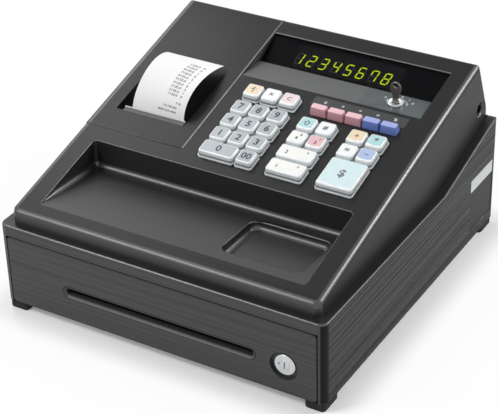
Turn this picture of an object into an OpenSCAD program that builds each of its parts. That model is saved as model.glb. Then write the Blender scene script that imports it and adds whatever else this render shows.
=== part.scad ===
// Electronic cash register: a drawer case, a sloping cover, and the machinery between them.
// Millimetres. +Z is up, the operator stands at -Y, and the origin is on the floor
// under the middle of the case.

/* [Case] */
// Width of the lower case
case_w = 335; // [328:1:345]
// Depth of the lower case from front to back
case_d = 350; // [346:1:362]
// Height of the lower case from its underside to the front rim
case_h = 83; // [82:0.5:88]
// Wall of the lower case
case_wall = 3; // [2.5:0.25:3.5]
// Radius of the upright corners of the case
case_corner_r = 8; // [6:0.5:9]
// Thickness of the deck that carries the cover
deck_t = 3; // [2.5:0.25:4]
// Rise of the rim from the front to the back
rim_rise = 30.5; // [24:0.5:32]
// Length of the climbing part of the rim
rim_ramp_l = 119; // [110:1:125]
// Radius of the rim's top corner at the back
rim_corner_r = 7; // [4:0.5:9]
// Height of the bar over the drawer opening
bar_h = 11; // [9:0.5:13]
// Width of the post on each side of the drawer opening
post_w = 7; // [6:0.25:7.5]
// Thickness of the steel base plate and its rails
steel_t = 2; // [1.5:0.25:2.25]
// Height of the rubber feet
foot_h = 8; // [7:0.5:10]
// Width of one foot
foot_w = 20; // [16:1:22]
// Length of one foot
foot_l = 26; // [20:1:30]
// Distance of a foot from the case edge
foot_inset = 1.5; // [1:0.25:3]

/* [Drawer] */
// Gap round the drawer front
drawer_gap = 0.7; // [0.5:0.1:1]
// Thickness of the drawer front
drawer_front_t = 6; // [5:0.5:7]
// Radius of the drawer front's corners
drawer_front_r = 4; // [3:0.5:5]
// Wall of the drawer box
drawer_wall = 2; // [1.6:0.1:2.4]
// Distance of the drawer box from the back of the case
rear_room = 57; // [54:1:64]
// Gap between the drawer box and the base plate
drawer_lift = 3; // [2.5:0.25:4]
// Gap between the drawer box and the top of its opening
drawer_headroom = 4; // [3:0.25:6]
// Width of the note slot in the drawer front
slot_w = 195; // [150:1:200]
// Height of the note slot
slot_h = 6; // [5:0.5:7]
// Height of the note slot's middle above the case underside
slot_rise = 31; // [29:0.5:32]
// Width of the sunk border round the note slot
slot_border = 3.2; // [2:0.2:4]
// Depth of the sunk border
slot_sink = 1.6; // [1:0.2:2.4]
// Radius of the drawer lock's face
lock_r = 12; // [10:0.5:12.5]
// Radius of the drawer lock's barrel
lock_barrel_r = 8; // [7:0.25:8.5]
// Distance of the lock from the side of the case
lock_inset = 39.5; // [38:0.5:44]
// Height of the lock's middle above the case underside
lock_rise = 29; // [27:0.5:30]
// Length of the drawer lock
lock_l = 14; // [12:0.5:15]
// Length of the drawer lock's cam
lock_cam_l = 13; // [11:0.5:14]
// Radius of the drawer rollers
roller_r = 9; // [8:0.25:9.5]
// Width of the drawer rollers
roller_w = 6.5; // [6:0.1:7]
// Radius of the roller pins
roller_pin_r = 2.5; // [2:0.1:3]

/* [Coin tray] */
// Height of the lift-out coin tray
tray_h = 31; // [24:0.5:31]
// Wall of the coin tray
tray_wall = 1.8; // [1.4:0.1:2.2]
// Number of coin cups across the tray
cup_columns = 4; // [3:1:5]
// Number of rows of coin cups
cup_rows = 2; // [1:1:3]
// Length of one coin cup
cup_l = 52; // [44:1:56]
// Gap between the coin tray and the drawer front
tray_front_gap = 10; // [10:0.5:12]

/* [Cover] */
// Wall of the cover
cover_wall = 2.5; // [2:0.1:2.75]
// Gap between the cover and the side of the case
cover_side_gap = 9.5; // [8:0.5:11]
// Gap between the cover and the front of the case
cover_front_gap = 7.5; // [6:0.5:9]
// Gap between the cover and the back of the case
cover_rear_gap = 4.5; // [3.5:0.25:6]
// Height of the cover's front wall above the rim
cover_front_h = 13; // [12.5:0.5:15]
// Height of the cover's ridge above the rim
cover_ridge_h = 94; // [93:0.5:98]
// Distance that the back of the cover leans forward
cover_lean = 26.2; // [22:0.2:30]
// Radius of the cover's upright corners
cover_corner_r = 7; // [5:0.5:9]
// Distance of the pen tray from the sides of the cover
pen_side = 22; // [20:0.5:26]
// Distance of the pen tray from the front of the cover
pen_front = 15.5; // [14:0.5:17]
// Distance of the pen tray from the keys, up the slope
pen_back = 14.75; // [14:0.25:16]
// Fall of the pen tray's floor towards the back
pen_fall = 4; // [3:0.25:4.5]
// Radius of the pen tray's corners
pen_r = 4; // [3:0.5:6]
// Width of the clip pocket in the pen tray
pocket_w = 80; // [70:1:84]
// Distance of the clip pocket from the front of the pen tray
pocket_front = 14; // [12:0.5:20]
// Depth of the clip pocket
pocket_depth = 6.5; // [5:0.25:6.75]
// Radius of the clip pocket's corners
pocket_r = 9; // [7:0.5:12]
// Distance of the clip pocket from the side of the pen tray
pocket_side = 12; // [10:0.5:14]
// Distance of the clip pocket from the back of the pen tray
pocket_back = 15; // [14:0.5:18]

/* [Printer cover] */
// Width of the printer cover
lid_w = 107.5; // [105:0.5:110]
// Length of the printer cover, up the slope to the ridge
lid_l = 196.6; // [192:0.2:202]
// Depth of the printer cover's side and rear skirts
lid_skirt = 22; // [18:0.5:22]
// Gap round the printer cover
lid_gap = 0.4; // [0.3:0.05:0.6]
// Distance that the printer cover lifts
lid_lift = 60; // [40:1:80]
// Distance of the paper recess from the front of the printer cover
well_front = 27; // [25:0.5:29]
// Distance of the paper recess from the left side of the cover
well_left = 17.2; // [16:0.2:19]
// Width of the paper recess
well_w = 76.3; // [72:0.5:78]
// Length of the paper recess
well_l = 85.5; // [80:0.5:88]
// Length of the open slot at the front of the recess
well_slot = 18.5; // [17.5:0.25:19]
// Depth of the recess behind its slot
well_depth = 17; // [14:0.5:17.5]
// Width of the paper
paper_w = 57.5; // [56:0.5:58]
// Thickness of the paper
paper_t = 0.3; // [0.2:0.05:0.4]
// Height of the curl of paper above the cover
paper_rise = 17.5; // [14:0.5:18.5]
// Radius of the paper roll
roll_r = 30; // [24:0.5:31]
// Radius of the paper roll's core
core_r = 8; // [6:0.5:10]

/* [Display] */
// Distance of the display recess's front from the ridge, down the slope
display_back = 87.2; // [85:0.2:90]
// Length of the level shelf in front of the window
shelf_l = 33.4; // [31:0.2:34]
// Gap between the display recess and the side of the cover
display_side = 20; // [17:0.5:24]
// Lean of the display window from level, in degrees
window_lean = 28.5; // [27:0.5:29.5]
// Thickness of the display window
window_t = 2; // [1.5:0.1:2.5]
// Distance of the mode switch from the right end of the recess
mode_side = 32.4; // [28:0.2:38]
// Distance of the mode switch from the front of the shelf
mode_front = 15.5; // [14:0.2:17]
// Radius of the mode switch's ring
mode_r = 8; // [7:0.25:8.5]
// Radius of the mode switch's barrel
mode_barrel_r = 6; // [5.5:0.1:6.4]
// Length of the mode switch's barrel below the shelf
mode_barrel_l = 15; // [13:0.5:16]
// Width of the mode key's blade
blade_w = 6; // [5:0.1:6.5]
// Thickness of the mode key
blade_t = 2; // [1.6:0.1:2.2]
// Radius of the mode key's bow
bow_r = 7; // [6:0.25:8]
// Height of the mode key's bow above the shelf
bow_rise = 15.5; // [15:0.25:17]

/* [Keys] */
// Distance between key centres
key_pitch = 19.3; // [19:0.05:19.5]
// Gap between neighbouring keys
key_gap = 0.8; // [0.6:0.05:1.2]
// Height of a key above the cover
key_h = 6; // [5:0.25:7]
// Depth of a key's skirt below the face of the cover
key_skirt = 1; // [0.5:0.1:1.2]
// Inset of a key's top at its sides
key_draft = 1.2; // [0.8:0.1:1.6]
// Inset of a key's top at the operator's side
key_front_draft = 2.8; // [2:0.1:3.2]
// Radius of a key's corners
key_r = 1.5; // [1:0.1:2]
// Travel of a key
key_travel = 3; // [2:0.25:3]
// Gap between the keys and the cover
key_clear = 0.6; // [0.5:0.05:0.8]
// Distance of the key field's front from the display recess, down the slope
keys_back = 113.3; // [112:0.1:116]
// Distance of the key field from the printer cover
keys_x = 17.7; // [16:0.1:19]
// Gap between the blocks of keys
block_gap = 12.2; // [11.5:0.1:12.6]
// Gap between the number keys and the row behind them
feed_gap = 4.9; // [4:0.1:5.5]
// Distance of the function keys from the front of the key field
function_s = 85.6; // [85.3:0.1:86.6]
// Distance between function key centres
function_pitch = 17.9; // [17.6:0.05:18]
// Length of a function key
function_l = 9.1; // [8.5:0.1:9.4]
// Height of a function key above the cover
function_h = 7; // [6:0.25:8]
// Side of a key's square stem
stem_w = 5; // [4:0.25:5.5]
// Gap round a key's stem
stem_clear = 0.3; // [0.2:0.05:0.4]
// Thickness of the key frame
frame_t = 2; // [1.6:0.1:2.4]
// Depth of the key frame's border below its plate
frame_border_h = 9; // [8.5:0.25:10]
// Height of a rubber dome
dome_h = 3.5; // [3:0.25:4]
// Thickness of the circuit boards
board_t = 1.6; // [1.2:0.1:2]

/* [Printer] */
// Radius of the platen roller
platen_r = 8; // [7:0.25:8.25]
// Radius of the ink roller
ink_r = 7; // [6:0.25:7.5]
// Depth of the print line below the face of the cover
nip_depth = 29; // [28:0.25:31]
// Thickness of the printer frame's cheeks
cheek_t = 2.5; // [2:0.1:3]
// Thickness of the printer frame's floor
printer_floor_t = 2.5; // [2:0.1:3]
// Radius of the roller shafts
shaft_r = 2.5; // [2:0.1:3]
// Radius of the printer motor
motor_r = 12; // [10:0.25:12.5]
// Length of the printer motor
motor_l = 32; // [26:0.5:36]
// Radius of a backup battery
battery_r = 7.1; // [6.9:0.05:7.25]
// Length of a backup battery
battery_l = 50; // [48:0.5:50.5]

/* [Hidden] */
NUMBER_BLOCK = 0;
DEPARTMENT_BLOCK = 1;
TENDER_BLOCK = 2;
FEED_ROW = 3;
// Each key: name, block, first column, first row, columns wide, rows deep
KEYS = [
    ["key_0", NUMBER_BLOCK, 0, 0, 2, 1],
    ["key_00", NUMBER_BLOCK, 2, 0, 1, 1],
    ["key_1", NUMBER_BLOCK, 0, 1, 1, 1],
    ["key_2", NUMBER_BLOCK, 1, 1, 1, 1],
    ["key_3", NUMBER_BLOCK, 2, 1, 1, 1],
    ["key_4", NUMBER_BLOCK, 0, 2, 1, 1],
    ["key_5", NUMBER_BLOCK, 1, 2, 1, 1],
    ["key_6", NUMBER_BLOCK, 2, 2, 1, 1],
    ["key_7", NUMBER_BLOCK, 0, 3, 1, 1],
    ["key_8", NUMBER_BLOCK, 1, 3, 1, 1],
    ["key_9", NUMBER_BLOCK, 2, 3, 1, 1],
    ["key_paper_feed", FEED_ROW, 0, 0, 1, 1],
    ["key_multiply", FEED_ROW, 1, 0, 1, 1],
    ["key_clear", FEED_ROW, 2, 0, 1, 1],
    ["key_department_1", DEPARTMENT_BLOCK, 0, 0, 2, 1],
    ["key_department_2", DEPARTMENT_BLOCK, 0, 1, 2, 1],
    ["key_department_3", DEPARTMENT_BLOCK, 1, 2, 1, 1],
    ["key_department_4", DEPARTMENT_BLOCK, 0, 2, 1, 1],
    ["key_shift", DEPARTMENT_BLOCK, 0, 3, 1, 1],
    ["key_item", DEPARTMENT_BLOCK, 1, 3, 1, 1],
    ["key_cash", TENDER_BLOCK, 0, 0, 2, 2],
    ["key_subtotal", TENDER_BLOCK, 0, 2, 1, 1],
    ["key_charge", TENDER_BLOCK, 1, 2, 1, 1],
    ["key_check", TENDER_BLOCK, 0, 3, 1, 1],
    ["key_clerk", TENDER_BLOCK, 1, 3, 1, 1]
];
FUNCTION_KEYS = [for (i = [1:5]) str("function_key_", i)];
NAME = 0;
BLOCK = 1;
COLUMN = 2;
ROW = 3;
COLUMNS = 4;
ROWS = 5;

$fn = 48;
over = 1;                 // how far a cut runs past the face it leaves
fit = 0.3;                // gap between pieces that rest in each other
running = 0.05;           // gap between a shaft and its bore

// Levels and faces of the case
case_x = case_w / 2;
case_y = case_d / 2;
rim_z = foot_h + case_h;
rear_rim_z = rim_z + rim_rise;
kink_y = case_y - rim_ramp_l;
ramp_slope = rim_rise / rim_ramp_l;
deck_z = rim_z - deck_t;
opening_z = rim_z - bar_h;
opening_x = case_x - post_w;
plate_z = foot_h + steel_t;
inner_x = case_x - case_wall;
inner_y = case_y - case_wall;

// Faces and slope of the cover
cover_x = case_x - cover_side_gap;
cover_front_y = -case_y + cover_front_gap;
cover_rear_y = case_y - cover_rear_gap;
cover_front_z = rim_z + cover_front_h;
ridge_y = cover_rear_y - cover_lean;
ridge_z = rim_z + cover_ridge_h;
slope = atan2(ridge_z - cover_front_z, ridge_y - cover_front_y);
ridge_s = norm([ridge_z - cover_front_z, ridge_y - cover_front_y]);
rear_slope = (ridge_z - rear_rim_z) / cover_lean;
seam_x = -cover_x + lid_w;
lid_s = ridge_s - lid_l;
display_s = ridge_s - display_back;
keys_s = display_s - keys_back;

// Where a point given up the slope and out of it lies in the side view
function slope_point(s, h) =
    [cover_front_y + s * cos(slope) - h * sin(slope),
     cover_front_z + s * sin(slope) + h * cos(slope)];
// Height of the cover's face over a place on the floor
function face_z(y) = cover_front_z + (y - cover_front_y) * tan(slope);
// Points of an arc, from one angle to another
function arc(centre, r, from, to, steps = 8) =
    [for (i = [0:steps]) let (a = from + (to - from) * i / steps)
        centre + r * [cos(a), sin(a)]];

// A side view, extruded across the machine between two x values
module across(x0, x1) {
    translate([x0, 0, 0]) rotate([90, 0, 90]) linear_extrude(x1 - x0) children();
}

// Children drawn on the cover's sloping face, +Y up the slope and +Z out of it
module on_slope() {
    translate([0, cover_front_y, cover_front_z]) rotate([slope, 0, 0]) children();
}

// A box between two corners
module block(low, high) {
    translate(low) cube(high - low);
}

// A rectangle with round corners, between two corners
module rounded_rect(low, high, r) {
    translate([low.x + r, low.y]) square([high.x - low.x - 2 * r, high.y - low.y]);
    translate([low.x, low.y + r]) square([high.x - low.x, high.y - low.y - 2 * r]);
    for (x = [low.x + r, high.x - r], y = [low.y + r, high.y - r])
        translate([x, y]) circle(r);
}

// A round rod along X
module rod_x(x0, x1, y, z, r) {
    translate([x0, y, z]) rotate([0, 90, 0]) cylinder(h = x1 - x0, r = r);
}

// ---------------------------------------------------------------- lower case

boss_r = 4.5;
boss_h = 18;
boss_pilot_r = 2;
front_boss_inset = [9.5, 12];
rear_boss_inset = [11, 15];
front_boss = [case_x, -case_y] + [-front_boss_inset.x, front_boss_inset.y];
rear_boss = [case_x, case_y] - rear_boss_inset;
spring_x = -60;
spring_rise = 35;
spring_z = plate_z + spring_rise;
spring_boss_r = 5;
spring_boss_l = 10;
rating_l = 51;
rating_h = 57;
rating_sink = 0.6;
rating_back = 8;
rating_rise = 11;
rating_y = case_y - rating_back - rating_l;
rating_z = foot_h + rating_rise;

// Side view of the case's outside
module case_side() {
    corner = [case_y - rim_corner_r, rear_rim_z - rim_corner_r * (1 + ramp_slope)];
    polygon(concat(
        [[-case_y, foot_h], [-case_y, rim_z], [kink_y, rim_z]],
        arc(corner, rim_corner_r, 90 + atan(ramp_slope), 0),
        [[case_y, foot_h]]));
}

// Side view of the room under the climbing rim
module rim_room() {
    under = case_wall * sqrt(1 + ramp_slope * ramp_slope);
    start_y = kink_y + under / ramp_slope;
    polygon([[start_y, rim_z], [inner_y, rim_z],
             [inner_y, rim_z + (inner_y - start_y) * ramp_slope]]);
}

module case_bosses() {
    for (x = [-1, 1], p = [front_boss, rear_boss])
        translate([x * p.x, p.y, plate_z]) difference() {
            union() {
                cylinder(h = boss_h, r = boss_r);
                block([x > 0 ? 0 : -(inner_x + fit - p.x), -1, 0],
                      [x > 0 ? inner_x + fit - p.x : 0, 1, boss_h]);
            }
            translate([0, 0, -over]) cylinder(h = boss_h, r = boss_pilot_r);
        }
}

module lower_case() {
    color("#2f2f31") {
        difference() {
            intersection() {
                across(-case_x, case_x) case_side();
                translate([0, 0, foot_h]) linear_extrude(case_h + rim_rise)
                    rounded_rect([-case_x, -case_y], [case_x, case_y], case_corner_r);
            }
            block([-inner_x, -inner_y, foot_h - over], [inner_x, inner_y, deck_z]);
            block([-opening_x, -case_y - over, foot_h - over],
                  [opening_x, -inner_y + over, opening_z]);
            across(-inner_x, inner_x) rim_room();
            block([-cover_x - fit, cover_front_y, rim_z],
                  [cover_x + fit, cover_rear_y + fit, rear_rim_z + over]);
            block([case_x - rating_sink, rating_y, rating_z],
                  [case_x + over, rating_y + rating_l, rating_z + rating_h]);
        }
        case_bosses();
        translate([spring_x, inner_y + fit, spring_z]) rotate([90, 0, 0])
            cylinder(h = spring_boss_l + fit, r = spring_boss_r);
    }
}

// ---------------------------------------------------------------- base, feet, screws

plate_side = 0.5;
plate_front_y = -case_y + drawer_front_t + 1;
screw_r = 1.9;
screw_hole_r = 2.2;
screw_head_r = 3.6;
screw_head_h = 2.5;
screw_l = 12;
rail_x = inner_x - plate_side;
web_x = rail_x - steel_t;
rail_roof = 13;
rail_gap = 2;
rail_tail = 6;
rail_front_y = front_boss.y + boss_r + rail_gap;
rail_rear_y = case_y - rear_room + rail_tail;
roller_z = plate_z + fit + roller_r;
roller_side = 3.6;
runner_t = 1.6;
runner_gap = 0.4;
runner_z = roller_z + roller_r + fit;
rail_roof_z = runner_z + runner_t + runner_gap;
roller_x = web_x - roller_side - roller_w;
front_roller_back = 30;
rear_roller_lead = 5;
front_roller_y = -case_y + front_roller_back;
rear_roller_y = case_y - rear_room - roller_r - rear_roller_lead;
collar_t = 2;

module rail(side) {
    mirror([side > 0 ? 0 : 1, 0, 0]) {
        block([web_x, rail_front_y, foot_h], [rail_x, rail_rear_y, rail_roof_z + steel_t]);
        block([web_x - rail_roof + steel_t, rail_front_y, rail_roof_z],
              [rail_x, rail_rear_y, rail_roof_z + steel_t]);
        rod_x(roller_x - fit, rail_x, front_roller_y, roller_z, roller_pin_r);
        rod_x(roller_x + roller_w + fit, rail_x, front_roller_y, roller_z,
              roller_pin_r + collar_t);
    }
}

module base_plate() {
    color("silver") difference() {
        union() {
            block([-rail_x, plate_front_y, foot_h], [rail_x, inner_y - plate_side, plate_z]);
            for (side = [-1, 1]) rail(side);
        }
        for (x = [-1, 1], p = [front_boss, rear_boss])
            translate([x * p.x, p.y, foot_h - over])
                cylinder(h = steel_t + 2 * over, r = screw_hole_r);
    }
}

module rubber_feet() {
    foot_r = 4;
    color("#161616")
        for (x = [-1, 1], y = [-1, 1])
            translate([x * (case_x - foot_inset - foot_w / 2),
                       y * (case_y - foot_inset - foot_l / 2), 0])
                difference() {
                    linear_extrude(foot_h)
                        rounded_rect([-foot_w / 2, -foot_l / 2], [foot_w / 2, foot_l / 2],
                                     foot_r);
                    p = y < 0 ? front_boss : rear_boss;
                    translate([x * (p.x - case_x + foot_inset + foot_w / 2),
                               p.y - y * (case_y - foot_inset - foot_l / 2),
                               foot_h - screw_head_h - fit])
                        cylinder(h = screw_head_h + fit + over, r = screw_head_r + fit);
                }
}

module screws() {
    drive_r = 1.4;
    color("silver")
        for (x = [-1, 1], p = [front_boss, rear_boss])
            translate([x * p.x, p.y, foot_h - screw_head_h]) difference() {
                union() {
                    cylinder(h = screw_head_h, r = screw_head_r);
                    cylinder(h = screw_head_h + screw_l, r = screw_r);
                }
                translate([0, 0, -over]) cylinder(h = 1.2 + over, r = drive_r);
            }
}

// ---------------------------------------------------------------- drawer

front_y = -case_y;
front_back_y = front_y + drawer_front_t;
box_rear_y = case_y - rear_room;
box_gap = 2;
box_x = roller_x - box_gap;
box_z = plate_z + drawer_lift;
box_top_z = opening_z - drawer_headroom;
slot_z = foot_h + slot_rise;
lock_x = case_x - lock_inset;
lock_z = foot_h + lock_rise;
lock_rim = 1.2;
lock_sink = 3;
latch_back = 12;
latch_reach = 22;
latch_pivot = [22, inner_y - latch_back];
striker_r = 3;
striker_h = 8;
striker_w = 16;
striker_rise = 14;
striker_t = 2;
striker_y = latch_pivot.y - latch_reach;
striker_z = plate_z + striker_rise;
tray_gap = 0.5;
tray_drop = 1;
tray_x = box_x - drawer_wall - tray_gap;
tray_y = front_back_y + tray_front_gap;
tray_rear_y = box_rear_y - drawer_wall - tray_gap;
tray_top_z = box_top_z - tray_drop;
tray_z = tray_top_z - tray_h;
seat_t = 2;
seat_w = 6;

module lock_hole(r) {
    translate([lock_x, front_y - over, lock_z]) rotate([-90, 0, 0])
        cylinder(h = drawer_front_t + drawer_wall + 2 * over, r = r);
}

module note_slot(grow, y0, y1) {
    translate([0, y1, slot_z]) rotate([90, 0, 0]) linear_extrude(y1 - y0)
        rounded_rect([-slot_w / 2 - grow, -slot_h / 2 - grow],
                     [slot_w / 2 + grow, slot_h / 2 + grow], slot_h / 2 + grow - 0.01);
}

module drawer_box() {
    runner_x = opening_x - box_gap / 2;
    runner_lead = 4;
    color("#2c2c2e") difference() {
        union() {
            difference() {
                block([-box_x, front_back_y, box_z], [box_x, box_rear_y, box_top_z]);
                block([-box_x + drawer_wall, front_back_y + drawer_wall, box_z + drawer_wall],
                      [box_x - drawer_wall, box_rear_y - drawer_wall, box_top_z + over]);
            }
            for (side = [-1, 1]) mirror([side > 0 ? 0 : 1, 0, 0]) {
                block([box_x - over, rail_front_y - runner_lead, runner_z],
                      [runner_x, box_rear_y, runner_z + runner_t]);
                rod_x(box_x - over, roller_x + roller_w + fit, rear_roller_y, roller_z,
                      roller_pin_r);
                block([box_x - drawer_wall - seat_w, tray_y, tray_z - seat_t],
                      [box_x - over, box_rear_y - over, tray_z]);
            }
            block([-striker_w / 2, box_rear_y - over, striker_z - striker_t],
                  [striker_w / 2, striker_y + striker_r + striker_t, striker_z]);
            translate([0, striker_y, striker_z - striker_t])
                cylinder(h = striker_h + striker_t, r = striker_r);
        }
        lock_hole(lock_barrel_r + running);
        note_slot(0, front_back_y - over, front_back_y + drawer_wall + over);
    }
}

module drawer_front() {
    color("#333335") difference() {
        translate([0, front_back_y, 0]) rotate([90, 0, 0]) linear_extrude(drawer_front_t)
            rounded_rect([-opening_x + drawer_gap, foot_h + 1],
                         [opening_x - drawer_gap, opening_z - drawer_gap], drawer_front_r);
        note_slot(0, front_y - over, front_back_y + over);
        note_slot(slot_border, front_y - over, front_y + slot_sink);
        lock_hole(lock_barrel_r + running);
        translate([lock_x, front_y - over, lock_z]) rotate([-90, 0, 0])
            cylinder(h = lock_sink + over, r = lock_r + lock_rim);
    }
}

module coin_tray() {
    note_z = tray_z + tray_wall;
    cup_w = (2 * tray_x - tray_wall) / cup_columns;
    cups_y = tray_y + tray_wall;
    notes_y = cups_y + cup_rows * (cup_l + tray_wall);
    color("#3a3a3c") difference() {
        block([-tray_x, tray_y, tray_z], [tray_x, tray_rear_y, tray_top_z]);
        for (i = [0:cup_columns - 1]) {
            x = -tray_x + tray_wall + i * cup_w;
            for (j = [0:cup_rows - 1])
                block([x, cups_y + j * (cup_l + tray_wall), note_z],
                      [x + cup_w - tray_wall, cups_y + j * (cup_l + tray_wall) + cup_l,
                       tray_top_z + over]);
            block([x, notes_y, note_z],
                  [x + cup_w - tray_wall, tray_rear_y - tray_wall, tray_top_z + over]);
        }
    }
}

module drawer_lock() {
    face_t = lock_sink - fit;
    cam = [7, lock_cam_l, 2];
    cam_back = 0.5;
    key_slot = [1.6, 7, 8];
    color("#c9cbcc") translate([lock_x, front_y, lock_z]) rotate([-90, 0, 0])
        difference() {
            union() {
                cylinder(h = face_t, r = lock_r);
                cylinder(h = lock_l, r = lock_barrel_r);
                translate([-cam.x / 2, 0, lock_l - cam.z - cam_back]) cube(cam);
            }
            translate([-key_slot.x / 2, -key_slot.y / 2, -over])
                cube(key_slot + [0, 0, over]);
        }
}

latch_lift = 1;
latch_z = striker_z + latch_lift;
latch_t = 3;
latch_w = 8;
latch_rest = 14;
solenoid_size = [26, 22, 20];
solenoid_gap = 8;
solenoid_back = 14;

// Flat outline of the latch in its hooked place, the pivot at the origin
module latch_outline() {
    hook_gap = 0.6;
    hook_over = 2;
    hook_t = 5;
    hub_rim = 1;
    hook = [-latch_pivot.x - hook_over, -latch_reach - striker_r - hook_gap];
    half = latch_w / 2;
    circle(half + hub_rim);
    polygon([[-half, 0], [-half, hook.y], hook, [hook.x, hook.y - hook_t],
             [half, hook.y - hook_t], [half, 0]]);
}

module drawer_latch() {
    color("silver") translate([latch_pivot.x, latch_pivot.y, 0])
        difference() {
            translate([0, 0, latch_z]) rotate(latch_rest) linear_extrude(latch_t)
                latch_outline();
            translate([0, 0, latch_z - over])
                cylinder(h = latch_t + 2 * over, r = shaft_r + running);
        }
}

module solenoid() {
    x = latch_pivot.x + solenoid_gap + latch_w / 2;
    y = latch_pivot.y - solenoid_back;
    plunger_z = latch_z + latch_t / 2;
    plunger_r = 3;
    plunger_l = 3;
    post_rim = 2.5;
    pin_top = 2;
    foot = [latch_w / 2, 3];
    color("goldenrod") {
        block([x, y - solenoid_size.y / 2, plate_z],
              [x + solenoid_size.x, y + solenoid_size.y / 2, plate_z + solenoid_size.z]);
        rod_x(x - plunger_l, x + over, y, plunger_z, plunger_r);
    }
    color("silver") {
        translate([latch_pivot.x, latch_pivot.y, plate_z])
            cylinder(h = latch_z + latch_t - plate_z + pin_top, r = shaft_r);
        translate([latch_pivot.x, latch_pivot.y, plate_z])
            cylinder(h = latch_z - plate_z - fit, r = shaft_r + post_rim);
        block([latch_pivot.x, latch_pivot.y - foot.x, plate_z],
              [x + over, latch_pivot.y + foot.x, plate_z + foot.y]);
    }
}

spring_wire = 1.2;
spring_r = 8;
spring_turns = 7;
wire_sides = 8;
turn_steps = 16;

// One ring of the coil spring's wire, at turn t of its length
function coil_ring(t, length) = let (a = 360 * t)
    [for (i = [0:wire_sides - 1]) let (b = 360 * i / wire_sides,
        r = spring_r + spring_wire * cos(b))
        [r * cos(a), length * t / spring_turns + spring_wire * sin(b), r * sin(a)]];

module drawer_spring() {
    start_y = box_rear_y + fit + spring_wire;
    length = inner_y - fit - spring_wire - start_y;
    rings = spring_turns * turn_steps;
    points = [for (k = [0:rings]) each coil_ring(k / turn_steps, length)];
    sides = [for (k = [0:rings - 1], i = [0:wire_sides - 1])
        let (j = (i + 1) % wire_sides, a = k * wire_sides)
        [a + i, a + wire_sides + i, a + wire_sides + j, a + j]];
    ends = [[for (i = [0:wire_sides - 1]) i],
            [for (i = [wire_sides - 1:-1:0]) rings * wire_sides + i]];
    color("silver") translate([spring_x, start_y, spring_z])
        polyhedron(points, concat(sides, ends), convexity = 8);
}

// A pair of drawer rollers on one axis
module roller_pair(y) {
    for (side = [-1, 1]) mirror([side > 0 ? 0 : 1, 0, 0])
        difference() {
            rod_x(roller_x, roller_x + roller_w, y, roller_z, roller_r);
            rod_x(roller_x - over, roller_x + roller_w + over, y, roller_z,
                  roller_pin_r + running);
        }
}

module front_rollers() {
    color("white") roller_pair(front_roller_y);
}

module rear_rollers() {
    color("white") roller_pair(rear_roller_y);
}

// ---------------------------------------------------------------- cover

wall_slope = cover_wall / cos(slope);
wall_rear = cover_wall * sqrt(1 + 1 / (rear_slope * rear_slope));
pen_x = cover_x - pen_side;
pen_front_y = cover_front_y + pen_front;
pen_rear_y = slope_point(keys_s - pen_back, 0).x;
pen_front_z = face_z(pen_front_y);
pen_rear_z = pen_front_z - pen_fall;
pocket_x1 = pen_x - pocket_side;
pocket_x0 = pocket_x1 - pocket_w;
pocket_y1 = pen_rear_y - pocket_back;
pocket_y0 = pen_front_y + pocket_front;
pocket_z = pen_rear_z - pocket_depth;
number_x = seam_x + keys_x;
department_x = number_x + 3 * key_pitch + block_gap;
tender_x = department_x + 2 * key_pitch + block_gap;
feed_s = keys_s + 4 * key_pitch + feed_gap;
function_inset = 1.2;
function_x = department_x + function_inset;
function_s0 = keys_s + function_s;
block_x = [number_x, department_x, tender_x, number_x];
block_s = [keys_s, keys_s, keys_s, feed_s];
shelf_y = slope_point(display_s, 0).x;
shelf_z = slope_point(display_s, 0).y;
foot_y = shelf_y + shelf_l;
display_rib = 1.2;
display_x0 = seam_x + lid_gap + display_rib;
display_x1 = cover_x - display_side;
window_run = (face_z(foot_y) - shelf_z) / (tan(window_lean) - tan(slope));
window_top = [foot_y + window_run, shelf_z + window_run * tan(window_lean)];
window_l = window_run / cos(window_lean);
mode_x = display_x1 - mode_side;
mode_y = shelf_y + mode_front;
jack_back = 20;
jack_rise = 44;
jack_y = cover_rear_y - jack_back;
jack_z = rim_z + jack_rise;
jack_r = 6.2;
jack_boss_l = 4;
jack_boss_x = cover_x - cover_wall - jack_boss_l;
ledge_t = 6;

// Children drawn on the display window's plane, +Y up it and +Z out of it
module on_window() {
    translate([0, foot_y, shelf_z]) rotate([window_lean, 0, 0]) children();
}

// Side view of the cover's outside, sunk by a wall for its inside
module cover_side(sunk) {
    drop = sunk * wall_slope;
    lead = sunk * wall_rear;
    y0 = cover_front_y + sunk * cover_wall;
    y1 = cover_rear_y - sunk * cover_wall;
    top_y = (ridge_z - face_z(0) + drop + rear_slope * (ridge_y - lead))
        / (tan(slope) + rear_slope);
    top_z = face_z(top_y) - drop;
    low_z = ridge_z - rear_slope * (y1 + lead - ridge_y);
    polygon([[y0, rim_z - sunk * over], [y0, face_z(y0) - drop], [top_y, top_z],
             [y1, low_z], [y1, rim_z - sunk * over]]);
}

// The cover as one plain lump, before it is hollowed
module cover_outside() {
    intersection() {
        across(-cover_x, cover_x) cover_side(0);
        translate([0, 0, rim_z]) linear_extrude(cover_ridge_h + over)
            rounded_rect([-cover_x, cover_front_y], [cover_x, cover_rear_y],
                         cover_corner_r);
    }
}

// The lump inside the cover's walls
module cover_inside() {
    across(-cover_x + cover_wall, cover_x - cover_wall) cover_side(1);
}

// The pen tray's room, or its tub when grown by a wall
module pen_room(grow) {
    intersection() {
        across(-pen_x - grow, pen_x + grow)
            polygon([[pen_front_y - grow, pen_front_z - grow],
                     [pen_rear_y + grow, pen_rear_z - grow],
                     [pen_rear_y + grow, ridge_z],
                     [pen_front_y - grow, ridge_z]]);
        translate([0, 0, rim_z]) linear_extrude(cover_ridge_h + over)
            rounded_rect([-pen_x - grow, pen_front_y - grow],
                         [pen_x + grow, pen_rear_y + grow], pen_r + grow);
    }
}

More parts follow.
